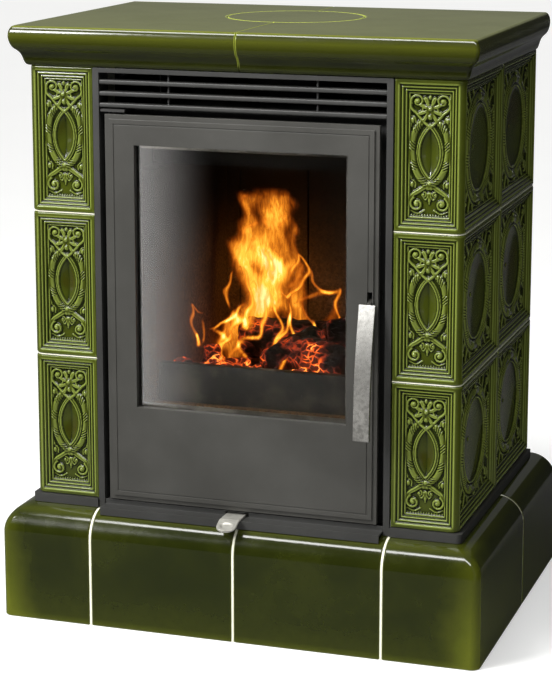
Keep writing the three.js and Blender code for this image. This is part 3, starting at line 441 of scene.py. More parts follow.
def oval(relief):  # two arcs that meet in points, with a deep smooth hollow
    halfWide = almond["halfWide"]
    halfHigh = almond["halfHigh"]
    middle = almond["middle"]
    lip = almond["lip"]
    radius = (halfHigh ** 2 + halfWide ** 2) / (2 * halfWide)
    outside = np.maximum(*(np.hypot(relief.x + s * (radius - halfWide), relief.y - middle) for s in (-1, 1)))
    outside = outside - radius
    rim = np.maximum(4.6 * hump(outside, 1.7) ** 0.5, 3.6 * hump(outside - 3.1, 1.2) ** 0.5)
    near = (rim > 0) & (outside < 4.4)
    relief.raiseTo(near, tile["field"] - tile["rooted"] + rim[near])
    inside = np.clip(-outside - lip, 0, None) / (halfWide - lip)
    hollow = outside < -lip
    floor = almond["brim"] - almond["depth"] * inside[hollow] ** 0.55
    relief.height[hollow] = np.minimum(relief.height[hollow], floor)


dish = {
    "line": (86.2, 1.5, 3.6),  # radius, half width, rise
    "wreath": (75.2, 7.8, 6),
    "rim": (64.2, 2, 4.6),
    "ribs": (108, 12, 0.9),  # ribs and groups of them round the wreath, and their rise
    "radius": 62.8,
    "brim": -9.6,
    "depth": 8,
    "leaves": ((-27, 15, 6), (-15, 23, 7), (-2, 27, 7.5), (11, 22, 7), (24, 13, 6)),  # tilt, length, width
    "leafRoot": 88,
    "bar": (93, 44, 49),  # place, half length, place of its end balls
}


def sideOrnament(relief):  # a ribbed wreath round a deep dish, leaves in the corners
    base = tile["field"] - tile["rooted"]
    reach = np.hypot(relief.x, relief.y)
    angle = np.arctan2(relief.y, relief.x)
    count, groups, ribRise = dish["ribs"]
    ribs = np.sin(angle * count + 0.55 * (reach - 75)) * np.clip(0.3 + 1.2 * np.sin(angle * groups), 0, 1)
    for part, extra in (("line", 0.0), ("wreath", ribRise * ribs), ("rim", 0.0)):
        radius, halfWidth, rise = dish[part]
        k = hump(reach - radius, halfWidth)
        near = k > 0
        relief.raiseTo(near, (base + (rise + extra) * k ** 0.5)[near])
    inside = reach < dish["radius"]
    relief.height[inside] = dish["brim"] - dish["depth"] * (1 - (reach[inside] / dish["radius"]) ** 2) ** 0.62
    relief.ball((0, 0), 4.5, 4.5, 2.6, -18.6)
    for sx in (-1, 1):
        for sy in (-1, 1):
            corner = np.array([sx, sy])
            relief.curl(corner * (82, 73), 9.5, 1.3, 90 if sy > 0 else -90, -sx * sy, 4.4, 4.8, base, 4)
            for tilt, length, width in dish["leaves"]:
                a = math.radians(43 + tilt)
                way = np.array([math.cos(a) * sx, math.sin(a) * sy])
                bend = np.array([-way[1], way[0]]) * 0.08 * tilt
                root = dish["leafRoot"]
                leaf = [way * root, way * (root + 0.5 * length) + bend, way * (root + length) + 2.4 * bend]
                relief.stroke(smoothLine(leaf), width, 4.8, base, (0.8, 0.35), hollow=1.2)
            relief.ball(corner * (91.5, 82), 3.2, 3.2, 3.6, base)
            relief.ball(corner * (34, 84), 3, 2.4, 3.2, base)
            sprig = smoothLine([corner * (4, 87), corner * (18, 84.5), corner * (30, 86)])
            relief.stroke(sprig, 3, 3, base, (1, 0.4))
        relief.ball((0, sx * 82.5), 5.2, 4.6, 6.4, base)
        place, half, end = dish["bar"]
        bar = [(sx * place, -half), (sx * place, half)]
        relief.stroke(bar, 7, 3.8, base, (0.8, 0.8), ribs=0.9, pitch=4.4, slant=0.4)
        for sy in (1, -1):
            relief.ball((sx * place, sy * end), 3, 3.4, 4, base)


def marks(length, pitch, fineStart=True, fineEnd=True):  # places of the grid lines, close at an edge
    edge = [0, 0.12, 0.45, 0.95, 1.5, 2.2, 3.0]
    low = edge if fineStart else [0]
    high = [length - e for e in reversed(edge)] if fineEnd else [length]
    count = max(2, round((high[0] - low[-1]) / pitch))
    middle = list(np.linspace(low[-1], high[0], count + 1))[1:-1]
    return np.array(low + middle + high)


def tileHeights(u, v, leaves):  # leaves: start, end and ornament of each
    height = np.zeros((len(u), len(v)))
    across, up = np.meshgrid(u, v, indexing="ij")
    profileAt = [p[0] for p in tile["moulding"]]
    profile = [p[1] for p in tile["moulding"]]
    total = u[-1]
    edge = np.minimum.reduce([across - u[0], total - across, up, tile["height"] - up])
    for start, end, ornament in leaves:
        inner = np.minimum.reduce([across - start, end - across, up, tile["height"] - up])
        mine = (across >= start) & (across <= end)
        level = np.interp(inner, profileAt, profile)
        height[mine] = level[mine]
        columns = (u >= start) & (u <= end)
        middle = (start + end) / 2
        relief = Relief(across[columns] - middle, up[columns] - tile["height"] / 2, height[columns])
        ornament(relief)
        height[columns] = relief.height
    height = 0.45 * height + 0.55 * blurred(height, 0.55)
    rounding = 3 - np.sqrt(np.maximum(9 - np.clip(3 - edge, 0, 3) ** 2, 0))
    return height - rounding


def buildTile(name, u, v, height, placed, z0, mirror, replaced):
    # placed(u) gives the surface point and the outward direction in plan
    # ridge mask: painted highlight on raised edges, partly thin glaze; hollow mask: painted shade in
    # recesses, partly gathered glaze
    thin = np.clip((height - blurred(height, 1.7)) / 0.55, -1, 1) * 0.5 + 0.5
    pool = np.clip((blurred(height, 5.5) - height) / 2.6, 0, 1)
    depth = np.clip(-height / 16, 0, 1)
    columns, rows = len(u) + 2, len(v) + 2
    surface = np.pad(height, 1, "edge")
    surface[0, :] = surface[-1, :] = surface[:, 0] = surface[:, -1] = -tile["thickness"]
    us = np.concatenate([[u[0]], u, [u[-1]]])
    vs = np.concatenate([[v[0]], v, [v[-1]]])
    at = np.array([placed(a) for a in us])
    x = at[:, 0, None] + at[:, 2, None] * surface
    y = at[:, 1, None] + at[:, 3, None] * surface
    z = np.broadcast_to(z0 + vs[None, :], surface.shape)
    points = np.stack([x * mirror, y, z], -1).reshape(-1, 3) * mm
    index = np.arange(columns * rows).reshape(columns, rows)
    for c, r in ((0, 0), (0, rows - 1), (columns - 1, 0), (columns - 1, rows - 1)):
        side = 1 if c == 0 else columns - 2
        index[c, r] = index[side, r]
        index[c, 1 if r == 0 else rows - 2] = index[side, r]
    quads = gridCells(index)
    keep = np.ones((columns - 1, rows - 1), bool)
    keep[0, 0] = keep[0, -1] = keep[-1, 0] = keep[-1, -1] = False
    faces = quads[keep].tolist()
    last = rows - 1
    for c in range(1, columns - 2):
        back = [int(index[c + 1, 0]), int(index[c, 0]), int(index[c, last]), int(index[c + 1, last])]
        if c == 1:
            back[2:2] = [int(i) for i in index[0, 2:last - 1]]
        if c == columns - 3:
            back += [int(i) for i in index[columns - 1, last - 2:1:-1]]
        faces.append(back)
    if mirror < 0:
        faces = [f[::-1] for f in faces]
    used = np.zeros(len(points), bool)
    for f in faces:
        used[f] = True
    renumber = np.cumsum(used) - 1
    faces = [[int(renumber[i]) for i in f] for f in faces]
    made = newPiece(name, points[used], faces, tileFinish, "stove", replaced)
    smoothed(made)
    for label, values in (("thin", thin), ("pool", pool), ("depth", depth)):
        paint(made, label, np.pad(values, 1, "edge").reshape(-1)[used])


glaze = {"IOR": 1.5, "Specular IOR Level": 0.45, "Coat Weight": 0.25, "Coat Roughness": 0.03, "Coat IOR": 1.5}


def glazeFinish(name, slot, colours, sheen, base):
    # coloured glaze, lighter on raised edges and darker in hollows: partly the glaze running thin and
    # gathering, partly painted highlight and painted shade
    finish = Finish(name, slot, glaze)
    patch = finish.between(finish.noise(7, 3, 0.6), 0.35, 0.7)
    fine = finish.noise(90, 3, 0.65)
    colour = base(finish, patch, fine)
    speck = finish.between(finish.noise(420, 1, 0.4), 0.68, 0.78)
    colour = finish.mix(speck * 0.35, colour, hue(colours["speck"]))
    waves = finish.noise(26, 2, 0.4) * 0.7 + finish.noise(140, 1, 0.5) * 0.3
    finish.surface({
        "Base Color": colour,
        "Roughness": sheen + 0.07 * fine + 0.05 * patch,
        "Normal": finish.bump(waves, 0.22, 0.0009),
    })
    return finish


tileColours = {"lit": "76823a", "bright": "474f13", "middle": "32390d", "deep": "151c06", "amberReflection": "3c2f04",
               "speck": "12170a"}


def tileGlaze(finish, patch, fine):
    thin = finish.painted("thin")
    pool = finish.painted("pool")
    depth = finish.painted("depth")
    c = tileColours
    middle = finish.mix(patch * 0.5 + fine * 0.3, hue(c["bright"]), hue(c["middle"]))
    # painted highlight on the ridges, partly glaze running thin
    lit = finish.mix(finish.between(thin + 0.12 * (fine - 0.5), 0.52, 0.95), middle, hue(c["lit"]))
    # painted shade where the surface dips between ridges
    shaded = finish.mix(0.75 * finish.between(thin, 0.46, 0.06), lit, hue(c["deep"]))
    # painted reflection in the deep dish: amber and lighter green patches where its far wall would mirror the
    # light
    basin = finish.between(depth, 0.7, 0.86) * (1 - pool)
    amberReflection = finish.mix(basin * finish.between(patch, 0.45, 0.9) * 0.6, shaded, hue(c["amberReflection"]))
    green = finish.mix(basin * finish.between(patch, 0.7, 0.2) * 0.5, amberReflection, hue(c["bright"]))
    # painted shade in the hollows, partly gathered glaze
    return finish.mix(pool * 0.6, green, hue(c["deep"]))


tileFinish = glazeFinish("tileGlaze", "tile_glaze", tileColours, 0.09, tileGlaze)


def cornerWalk():  # length of a corner tile's flat front, and of its bend
    return tile["halfWidth"] - tile["cornerRadius"] - tile["doorSide"], tile["cornerRadius"] * math.pi / 2


def cornerPlace(u):
    flat, bend = cornerWalk()
    radius = tile["cornerRadius"]
    if u <= flat:
        return tile["doorSide"] + u, tile["face"], 0.0, -1.0
    if u <= flat + bend:
        a = (u - flat) / radius
        x = tile["halfWidth"] - radius + radius * math.sin(a)
        return x, tile["face"] + radius * (1 - math.cos(a)), math.sin(a), -math.cos(a)
    return tile["halfWidth"], tile["face"] + radius + u - flat - bend, 1.0, 0.0


def sidePlace(u):
    return tile["halfWidth"], 1.0 + u, 1.0, 0.0


def buildTiles():
    flat, bend = cornerWalk()
    corner = flat + bend / 2
    sideLength = tile["seam"] - tile["face"] - tile["cornerRadius"]
    front = marks(flat, 1.0, True, False)
    arc = np.linspace(flat, flat + bend, 22)[1:]
    rest = flat + bend + marks(sideLength, 1.2, False, True)[1:]
    u = np.concatenate([front, arc, rest])
    v = marks(tile["height"], 1.0)
    cornerHeights = tileHeights(u, v, [(0, corner, frontOrnament), (corner, u[-1], sideOrnament)])
    uSide = marks(tile["sideLength"], 1.2)
    sideHeights = tileHeights(uSide, v, [(0, tile["sideLength"], sideOrnament)])
    for name, mirror in sides:
        for row in range(tile["rows"]):
            z0 = tile["lowest"] + row * tile["pitch"]
            cad = "corner_tile_%s_%d" % (name, row + 1)
            buildTile("glazed_" + cad, u, v, cornerHeights, cornerPlace, z0, mirror, [cad])
            cad = "side_tile_%s_%d" % (name, row + 1)
            buildTile("glazed_" + cad, uSide, v, sideHeights, sidePlace, z0, mirror, [cad])


buildTiles()
print("tiles modelled")


base = {
    "height": 178.0,
    "halfWidth": 379.0,
    "front": -283.0,
    "rear": 268.0,
    "round": 43.0,
    "cornerRadius": 14.0,
    "wall": 18.0,
    "ledge": 80.0,
    "joint": 2.0,  # from the middle of a joint to the ceramic
    "frontJoint": 231.0,
    "sideJoint": 17.0,
    "edge": 2.2,  # rounding beside a joint
}
baseColours = {"lit": "585e15", "bright": "31360a", "middle": "1f2408", "deep": "121803", "speck": "0a0d02"}


def baseGlaze(finish, patch, fine):
    thin = finish.painted("thin")
    c = baseColours
    # painted reflection of the floor: a lighter band along the foot
    low = finish.between(finish.axis(2) + 0.05 * patch, 0.085, 0.0)
    x = finish.axis(0)
    # painted highlight up the rounded vertical corners
    corner = finish.between((x * x) ** 0.5 + 0.03 * patch, 0.32, 0.4)
    corner = corner * finish.between(finish.axis(2), 0.19, 0.0)
    body = finish.mix(patch * 0.6 + low * 0.22, hue(c["middle"]), hue(c["bright"]))
    # painted highlights on shoulder, ends, foot and corners; at the joint ends partly thin glaze
    glow = thin * 0.85 + low * 0.14 + corner * 0.75
    return finish.mix((glow + 0.15 * (fine - 0.5)).clipped(), body, hue(c["lit"]))


baseFinish = glazeFinish("baseGlaze", "base_glaze", baseColours, 0.07, baseGlaze)


def baseProfile():  # closed outline: how far in from the outer face, and the height
    r = base["round"]
    h = base["height"]
    wall = base["wall"]
    ledge = base["ledge"]
    outline = [(1.6, 0.0), (0.5, 0.5), (0.0, 1.8)]
    outline += [(0.0, z) for z in np.linspace(12, h - r, 9)]
    outline += [(r * (1 - math.cos(a)), h - r + r * math.sin(a)) for a in np.linspace(0.05, math.pi / 2, 26)]
    outline += [(d, h) for d in (50, 60, 70, ledge - 1.5)]
    outline += [(ledge - 0.4, h - 0.5), (ledge, h - 1.6), (ledge, h - wall), (r + 4, h - wall)]
    outline += [(wall + (r - wall) * (1 - math.cos(a)), h - r + (r - wall) * math.sin(a))
                for a in np.linspace(1.4, 0.0, 8)]
    outline += [(wall, 0.0)]
    return np.array(outline)


def baseStations(kind):  # functions of the inset that walk along the piece, seen from above
    x1 = base["halfWidth"]
    y0 = base["front"]
    radius = base["cornerRadius"]
    gap = base["joint"]
    seam = base["frontJoint"]
    sideSeam = base["sideJoint"]
    if kind == "middle":
        return [(lambda d, t=t: (gap + t * (seam - 2 * gap), y0 + d)) for t in np.linspace(0, 1, 9)]
    if kind == "rear":
        length = base["rear"] - sideSeam - gap
        return [(lambda d, t=t: (x1 - d, sideSeam + gap + t * length)) for t in np.linspace(0, 1, 9)]
    start = seam + gap
    turnX = x1 - radius
    turnY = y0 + radius
    walk = []
    for t in np.linspace(0, 1, 6)[:-1]:
        walk.append(lambda d, t=t: (start + t * (turnX - d - start), y0 + d))
    for a in np.linspace(0, math.pi / 2, 11):
        walk.append(lambda d, a=a: (turnX - d + radius * math.sin(a), turnY + d - radius * math.cos(a)))
    for t in np.linspace(0, 1, 9)[1:]:
        walk.append(lambda d, t=t: (x1 - d, turnY + d + t * (sideSeam - gap - turnY - d)))
    return walk


def buildBasePiece(name, kind, mirror, replaced):
    outline = baseProfile()
    count = len(outline)
    tangent = np.roll(outline, -1, 0) - np.roll(outline, 1, 0)
    inward = np.stack([tangent[:, 1], -tangent[:, 0]], 1)
    inward /= np.linalg.norm(inward, axis=1)[:, None]
    walk = baseStations(kind)
    edge = base["edge"]

    def ring(station, shrink, ahead):  # one outline, drawn in and moved along the piece
        spots = []
        for d, z in outline + inward * shrink:
            x, y = station(d)
            spots.append((x + ahead[0], y + ahead[1], z))
        return spots

    def endRings(station, ahead, angles):  # the rounding at an end, and how near the end each ring is
        for a in angles:
            move = edge * (1 - math.cos(a))
            made = ring(station, edge * (1 - math.sin(a)), (ahead[0] * move, ahead[1] * move))
            rings.append((made, 1 - a / turns[-1]))

    turns = np.linspace(0, math.pi / 2, 5)
    rings = []
    endRings(walk[0], (0, 1) if kind == "rear" else (1, 0), turns)
    for station in walk[1:-1]:
        rings.append((ring(station, 0, (0, 0)), 0))
    endRings(walk[-1], (-1, 0) if kind == "middle" else (0, -1), turns[::-1])
    points = np.array([p for r, _ in rings for p in r])
    thin = []
    for r, atEnd in rings:
        for k, (d, z) in enumerate(outline):
            # painted highlight band along the shoulder's round; lighter at the piece ends, partly thin glaze
            # there; lighter at the foot as painted floor reflection
            onRound = max(0.0, 1 - abs(z - 172) / 9) if d < 40 and z > 130 else 0.0
            thin.append(max(0.9 * atEnd, 0.35 * onRound, 0.6 * max(0.0, 1 - z / 5)))
    thin = np.array(thin)
    if kind == "corner":
        # painted highlight at the rounded plan corner
        corner = np.hypot(points[:, 0] - (base["halfWidth"] - 6), points[:, 1] - (base["front"] + 6))
        thin = np.maximum(thin, 0.5 * np.clip(1 - corner / 26, 0, 1))
    points[:, 0] *= mirror
    faces = [f[::-1] for f in tubeFaces(len(rings), count)]
    faces.append(list(range(count)))
    faces.append([(len(rings) - 1) * count + k for k in range(count)][::-1])
    if mirror < 0:
        faces = [f[::-1] for f in faces]
    made = newPiece(name, points * mm, faces, baseFinish, "stove", replaced)
    paint(made, "thin", thin)
    fixNormals(made)
    softShade(made, 40)


def fixNormals(made):
    work = bmesh.new()
    work.from_mesh(made.data)
    bmesh.ops.recalc_face_normals(work, faces=work.faces)
    work.to_mesh(made.data)
    work.free()


for sideName, sideSign in sides:
    for kind in ("corner", "middle", "rear"):
        cadName = "base_%s_%s" % (kind, sideName)
        buildBasePiece("glazed_" + cadName, kind, sideSign, [cadName])
print("base modelled")


top = {
    "halfWidth": 336.0,
    "front": -240.0,
    "rear": 228.0,
    "bottom": 856.3,
    "level": 916.0,
    "cornerRadius": 6.0,
    "seam": 0.3,
    "rim": 45.0,
    "plate": 26.0,
    "coverRadius": 106.5,
    "coverThickness": 12.4,
    "hole": 95.5,
    "axis": 24.0,
    "clear": 5,  # how far a cutter passes the ceramic
    "moulding": [(0.5, 0), (3.6, 1.6), (6, 6.5), (7.6, 12), (9.8, 17.5), (13.4, 22.2), (18, 26.4),
                 (21, 31.8), (23, 38.5), (23.6, 46), (22.4, 52.5), (19.4, 57.8), (16, 59.7)],
}
topColours = {"lit": "484c15", "bright": "363a0d", "middle": "292d0a", "deep": "141804", "plate": "70752c",
              "edge": "b7c24a", "speck": "0a0d02"}


def topGlaze(finish, patch, fine):
    c = topColours
    bottom = top["bottom"] * mm
    level = top["level"] * mm
    coverEdge = top["coverRadius"] * mm
    z = finish.axis(2) + 0.0016 * (fine - 0.5)
    up = finish.between(z, bottom, level + 0.0003)
    # painted light and shade along the moulding: dark coves and fillets, lit torus
    bands = finish.ramp((z - bottom) / (level - bottom), [
        (0.0, hue(c["deep"])), (0.1, hue(c["middle"])), (0.3, hue(c["deep"])), (0.46, hue(c["middle"])),
        (0.62, hue(c["bright"])), (0.78, hue(c["lit"])), (0.93, hue(c["middle"])), (0.995, hue(c["plate"]))])
    # the flat top painted lighter, a painted reflection
    flat = finish.mix(0.3 * patch, hue(c["plate"]), hue(c["bright"]))
    moulded = finish.mix(0.25 * patch, bands, hue(c["bright"]))
    coloured = finish.mix(finish.between(z, level - 0.0015, level - 0.0002) * up, moulded, flat)
    # painted highlights on the two sharp edges: round the flue hole and along the joint
    x = finish.axis(0)
    y = finish.axis(1) - top["axis"] * mm
    far = (x * x + y * y) ** 0.5
    ring = finish.between(far, coverEdge - 0.003, coverEdge - 0.0016)
    ring = ring * finish.between(far, coverEdge + 0.0045, coverEdge + 0.003)
    joint = finish.between((x * x) ** 0.5, 0.0021, 0.0012)
    joint = joint * finish.between(far, coverEdge + 0.003, coverEdge + 0.004)
    edges = ring.most(joint * 0.45) * finish.between(z, 0.86, 0.87)
    return finish.mix(edges, coloured, hue(c["edge"]))


topFinish = glazeFinish("topGlaze", "top_glaze", topColours, 0.08, topGlaze)


def ringPoints(x0, x1, y0, y1, radius, steps):
    spots = []
    for x, y, start in ((x1 - radius, y1 - radius, 0), (x0 + radius, y1 - radius, 90),
                        (x0 + radius, y0 + radius, 180), (x1 - radius, y0 + radius, 270)):
        for a in np.radians(np.linspace(start, start + 90, steps + 1)):
            spots.append((x + radius * math.cos(a), y + radius * math.sin(a)))
    return spots


def plainSolid(name, rings):  # rings of (x, y, z) in millimetres, closed with caps
    count = len(rings[0])
    points = np.array([p for r in rings for p in r]) * mm
    faces = tubeFaces(len(rings), count)
    faces.append(list(range(count))[::-1])
    faces.append([(len(rings) - 1) * count + k for k in range(count)])
    mesh = bpy.data.meshes.new(name)
    mesh.from_pydata([tuple(p) for p in points], [], faces)
    made = linked(name, mesh)
    fixNormals(made)
    return made


def boxSolid(name, x0, x1, y0, y1, z0, z1):
    flat = [(x0, y0), (x1, y0), (x1, y1), (x0, y1)]
    return plainSolid(name, [[(x, y, z) for x, y in flat] for z in (z0, z1)])


def roundSolid(name, radius, y, z0, z1, steps=128):
    turns = np.linspace(0, 2 * math.pi, steps + 1)[:-1]
    flat = [(radius * math.cos(a), y + radius * math.sin(a)) for a in turns]
    return plainSolid(name, [[(px, py, z) for px, py in flat] for z in (z0, z1)])


def cutWith(made, cutters, operation="DIFFERENCE"):
    for cutter in cutters:
        step = made.modifiers.new("cut", "BOOLEAN")
        step.operation = operation
        step.solver = "EXACT"
        step.object = cutter
    bpy.context.view_layer.update()
    settle(made)
    for cutter in cutters:
        bpy.data.objects.remove(cutter)


def bevelled(made, width, segments=2, angle=38):
    step = made.modifiers.new("bevel", "BEVEL")
    step.width = width * mm
    step.segments = segments
    step.limit_method = "ANGLE"
    step.angle_limit = math.radians(angle)
    step.miter_outer = "MITER_ARC"
    bpy.context.view_layer.update()
    settle(made)
    return made


def topSkin(side):
    under = top["bottom"] - top["clear"]
    over = top["level"] + top["clear"]
    profile = smoothLine(top["moulding"], 4)
    rings = []
    for reach, height in profile:
        x = top["halfWidth"] + reach
        flat = ringPoints(-x, x, top["front"] - reach, top["rear"] + 80, top["cornerRadius"], 6)
        rings.append([(px, py, top["bottom"] + height) for px, py in flat])
    skin = plainSolid("glazed_top_half_" + ("left" if side < 0 else "right"), rings)
    keep = boxSolid("keep", *sorted((side * top["seam"], side * 500)), top["front"] - 60, top["rear"],
                    under, over)
    cutWith(skin, [keep], "INTERSECT")
    inner = top["halfWidth"] - top["rim"]
    hollow = boxSolid("hollow", -inner, inner, top["front"] + top["rim"], top["rear"] - top["rim"],
                      under, top["level"] - top["plate"])
    hole = roundSolid("hole", top["hole"], top["axis"], under, over)
    rebate = roundSolid("rebate", top["coverRadius"] + 1, top["axis"],
                        top["level"] - top["coverThickness"] - 0.3, over)
    cutWith(skin, [hollow, hole, rebate])
    return bevelled(skin, 1.3, 3, 50)


for sideName, sideSign in sides:
    half = topSkin(sideSign)
    dress(half, topFinish, "stove", ["top_half_" + sideName])
    softShade(half, 50)
cover = roundSolid("glazed_flue_cover", top["coverRadius"], top["axis"], top["level"] - top["coverThickness"],
                   top["level"])
bevelled(cover, 1.4, 3, 50)
dress(cover, topFinish, "cover", ["flue_cover"])
softShade(cover, 50)
print("top modelled")


def cementFinish():
    finish = Finish("jointCement", "cement", {"Roughness": 0.9})
    grain = finish.noise(900, 2, 0.6)
    stain = finish.between(finish.noise(14, 3, 0.6), 0.45, 0.75)
    finish.surface({
        "Base Color": finish.mix(stain * 0.4 + 0.12 * grain, hue("f2f1dc"), hue("cfcba6")),
        "Normal": finish.bump(grain, 0.5, 0.0004)})
    return finish


def paintFinish(name, slot, light, dark, sheen, metallic=0.0, worn="5c5a56"):
    # sprayed stove paint: fine grain, faint cloudiness, a little more shine where hands rub it
    finish = Finish(name, slot, {"Metallic": metallic, "IOR": 1.5})
    grain = finish.noise(1500, 2, 0.7)
    cloud = finish.noise(5, 4, 0.6)
    colour = finish.mix(finish.between(cloud, 0.35, 0.68), hue(dark), hue(light))
    dust = finish.between(finish.noise(60, 4, 0.7), 0.62, 0.85)
    finish.surface({
        "Base Color": finish.mix(dust * 0.22 + 0.1 * grain, colour, hue(worn)),
        "Roughness": sheen + 0.1 * cloud - 0.06 * dust,
        "Normal": finish.bump(grain, 0.18, 0.0002)})
    return finish


def bareFinish(name, slot, light, dark, sheen):  # rolled steel with faint heat colours
    finish = Finish(name, slot, {"Metallic": 0.85})
    cloud = finish.noise(18, 4, 0.65)
    rolled = finish.noise(1, 3, 0.6, finish.stretched((60, 60, 700)))
    colour = finish.mix(finish.between(cloud, 0.35, 0.7), hue(dark), hue(light))
    finish.surface({
        "Base Color": finish.mix(finish.between(cloud, 0.62, 0.8) * 0.3, colour, hue("5a4a3c")),
        "Roughness": sheen + 0.18 * rolled,
        "Normal": finish.bump(rolled, 0.15, 0.0002)})
    return finish


def castFinish():
    finish = Finish("castIron", "cast_iron", {"Metallic": 0.25})
    grain = finish.noise(700, 3, 0.7)
    cloud = finish.noise(20, 3, 0.6)
    finish.surface({
        "Base Color": finish.mix(finish.between(cloud, 0.4, 0.75), hue("2b2a27"), hue("4b463d")),
        "Roughness": 0.62 + 0.2 * grain,
        "Normal": finish.bump(grain, 0.55, 0.0006)})
    return finish


def clayFinish():  # pressed vermiculite: brown flakes, darker towards the top
    finish = Finish("vermiculite", "fireclay", {"Roughness": 0.95})
    flakes = finish.node("ShaderNodeTexVoronoi", None, {"Vector": finish.place(), "Scale": 330}, "Color")
    tone = finish.node("ShaderNodeSeparateColor", None, {0: flakes}, 0)
    cloud = finish.noise(9, 4, 0.65)
    darkTop = finish.between(finish.axis(2) + 0.16 * (cloud - 0.5), 0.42, 0.64)
    clay = finish.mix(tone * 0.75 + 0.2 * cloud, hue("44301d"), hue("7a5a37"))
    finish.surface({
        "Base Color": finish.mix(darkTop * 0.97, clay, hue("090807")),
        "Normal": finish.bump(tone, 0.5, 0.0008)})
    return finish


def ropeFinish():
    finish = Finish("sealRope", "rope", {"Roughness": 0.95})
    plait = finish.node("ShaderNodeTexWave", {"bands_direction": "DIAGONAL"}, {
        "Vector": finish.place(), "Scale": 120, "Distortion": 1.5, "Detail": 2})
    finish.surface({
        "Base Color": finish.mix(plait * 0.8 + 0.2 * finish.noise(300, 2, 0.6), hue("26251f"), hue("6d685c")),
        "Normal": finish.bump(plait, 0.7, 0.001)})
    return finish


def brushedFinish(name, slot, scale, light, dark, sheen, cloudy, metal=1.0):
    finish = Finish(name, slot, {"Metallic": metal})
    lines = finish.noise(1, 3, 0.75, finish.stretched(scale))
    cloud = finish.between(finish.noise(cloudy, 2, 0.6), 0.35, 0.7)
    finish.surface({
        "Base Color": finish.mix(0.5 * lines + 0.45 * cloud, hue(light), hue(dark)),
        "Roughness": sheen + 0.16 * lines + 0.05 * cloud,
        "Normal": finish.bump(lines, 0.3, 0.0002)})
    return finish


def glassFinish():
    finish = Finish("fireGlass", "fire_glass", {
        "Transmission Weight": 1.0, "IOR": 1.45, "Base Color": (0.96, 0.95, 0.93, 1)})
    film = finish.between(finish.noise(6, 4, 0.7), 0.5, 0.85)
    finish.surface({"Roughness": 0.004 + 0.012 * film})
    return finish


finishes = {f.slot: f for f in (
    tileFinish, baseFinish, topFinish, cementFinish(),
    paintFinish("frontMetal", "front_metal", "3a3a38", "2e2e2c", 0.42, 0.15),
    paintFinish("doorPaint", "door_paint", "4b4a46", "403f3b", 0.36, 0.2, "67645f"),
    paintFinish("fireboxSteel", "firebox_steel", "333230", "262523", 0.6, 0.1, "4a4641"),
    castFinish(), bareFinish("bareSteel", "bare_steel", "77756f", "55534e", 0.34),
    brushedFinish("handleSteel", "handle_steel", (620, 260, 150), "f4f2ec", "8a8882", 0.2, 150),
    brushedFinish("leverSteel", "lever_steel", (60, 700, 700), "c6c4bb", "8d8b83", 0.3, 40, 0.45),
    clayFinish(), ropeFinish(), glassFinish())}

for node in nodes.values():  # every CAD piece that stays gets its own finish
    slotName = node.data.materials[0].name.split(".")[0]
    node.data.materials[0] = finishes[slotName].material


def joinPieces(name, parts):
    work = bmesh.new()
    for part in parts:
        work.from_mesh(part.data)
        bpy.data.objects.remove(part)
    mesh = bpy.data.meshes.new(name)
    work.to_mesh(mesh)
    work.free()
    return linked(name, mesh)


def crisp(cadName, width):  # the CAD piece with its flat faces joined and its edges eased
    source = nodes[cadName]
    made = linked("eased_" + cadName, source.data.copy())
    slotName = next(k for k, f in finishes.items() if f.material == source.data.materials[0])
    work = bmesh.new()
    work.from_mesh(made.data)
    bmesh.ops.remove_doubles(work, verts=work.verts, dist=0.00002)
    bmesh.ops.recalc_face_normals(work, faces=work.faces)
    bmesh.ops.join_triangles(work, faces=work.faces, angle_face_threshold=0.02, angle_shape_threshold=3.1)
    work.to_mesh(made.data)
    work.free()
    for label in [a.name for a in made.data.attributes if a.name.startswith("custom_normal")]:
        made.data.attributes.remove(made.data.attributes[label])
    bevelled(made, width, 2, 32)
    dress(made, finishes[slotName], source["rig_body"], [cadName])
    softShade(made, 32)


for cadName, width in (("front_frame", 0.6), ("air_grille", 0.9), ("sill", 0.9), ("door_frame", 0.7),
                       ("plinth_tray", 1.0), ("log_guard", 1.2), ("back_panel", 0.8),
                       ("glass_retainer", 0.6), ("latch_bracket", 0.5), ("latch_lever", 0.5),
                       ("air_gate", 0.5), ("ash_pan", 0.8), ("grate", 1.0)):
    crisp(cadName, width)


backFold = 13.2


def buildBackEdges():  # the back panel's folded sides, which close the way past the side tiles
    low, high = (Vector(p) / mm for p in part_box("back_panel"))
    parts = [boxSolid("fold", x0, x1, low.y, high.y, low.z, high.z)
             for x0, x1 in ((low.x - backFold, low.x), (high.x, high.x + backFold))]
    folds = joinPieces("back_panel_folds", parts)
    dress(folds, finishes["firebox_steel"])
    bevelled(folds, 0.6, 2, 40)


buildBackEdges()
print("steel eased")


boards = {"joints": [-129.0, -10.9], "gap": 1.2, "edge": 1.6}


def buildBackLining():
    low, high = (Vector(p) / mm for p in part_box("lining_back"))
    ends = [low.x] + boards["joints"] + [high.x]
    last = len(ends) - 2
    parts = []
    for i in range(last + 1):
        x0 = ends[i] + (boards["gap"] if i else 0)
        x1 = ends[i + 1] - (boards["gap"] if i < last else 0)
        parts.append(boxSolid("board%d" % i, x0, x1, low.y, high.y, low.z, high.z))
    joined = joinPieces("back_lining_boards", parts)
    bevelled(joined, boards["edge"], 2, 40)
    dress(joined, finishes["fireclay"], "stove", ["lining_back"])
    softShade(joined, 40)


buildBackLining()


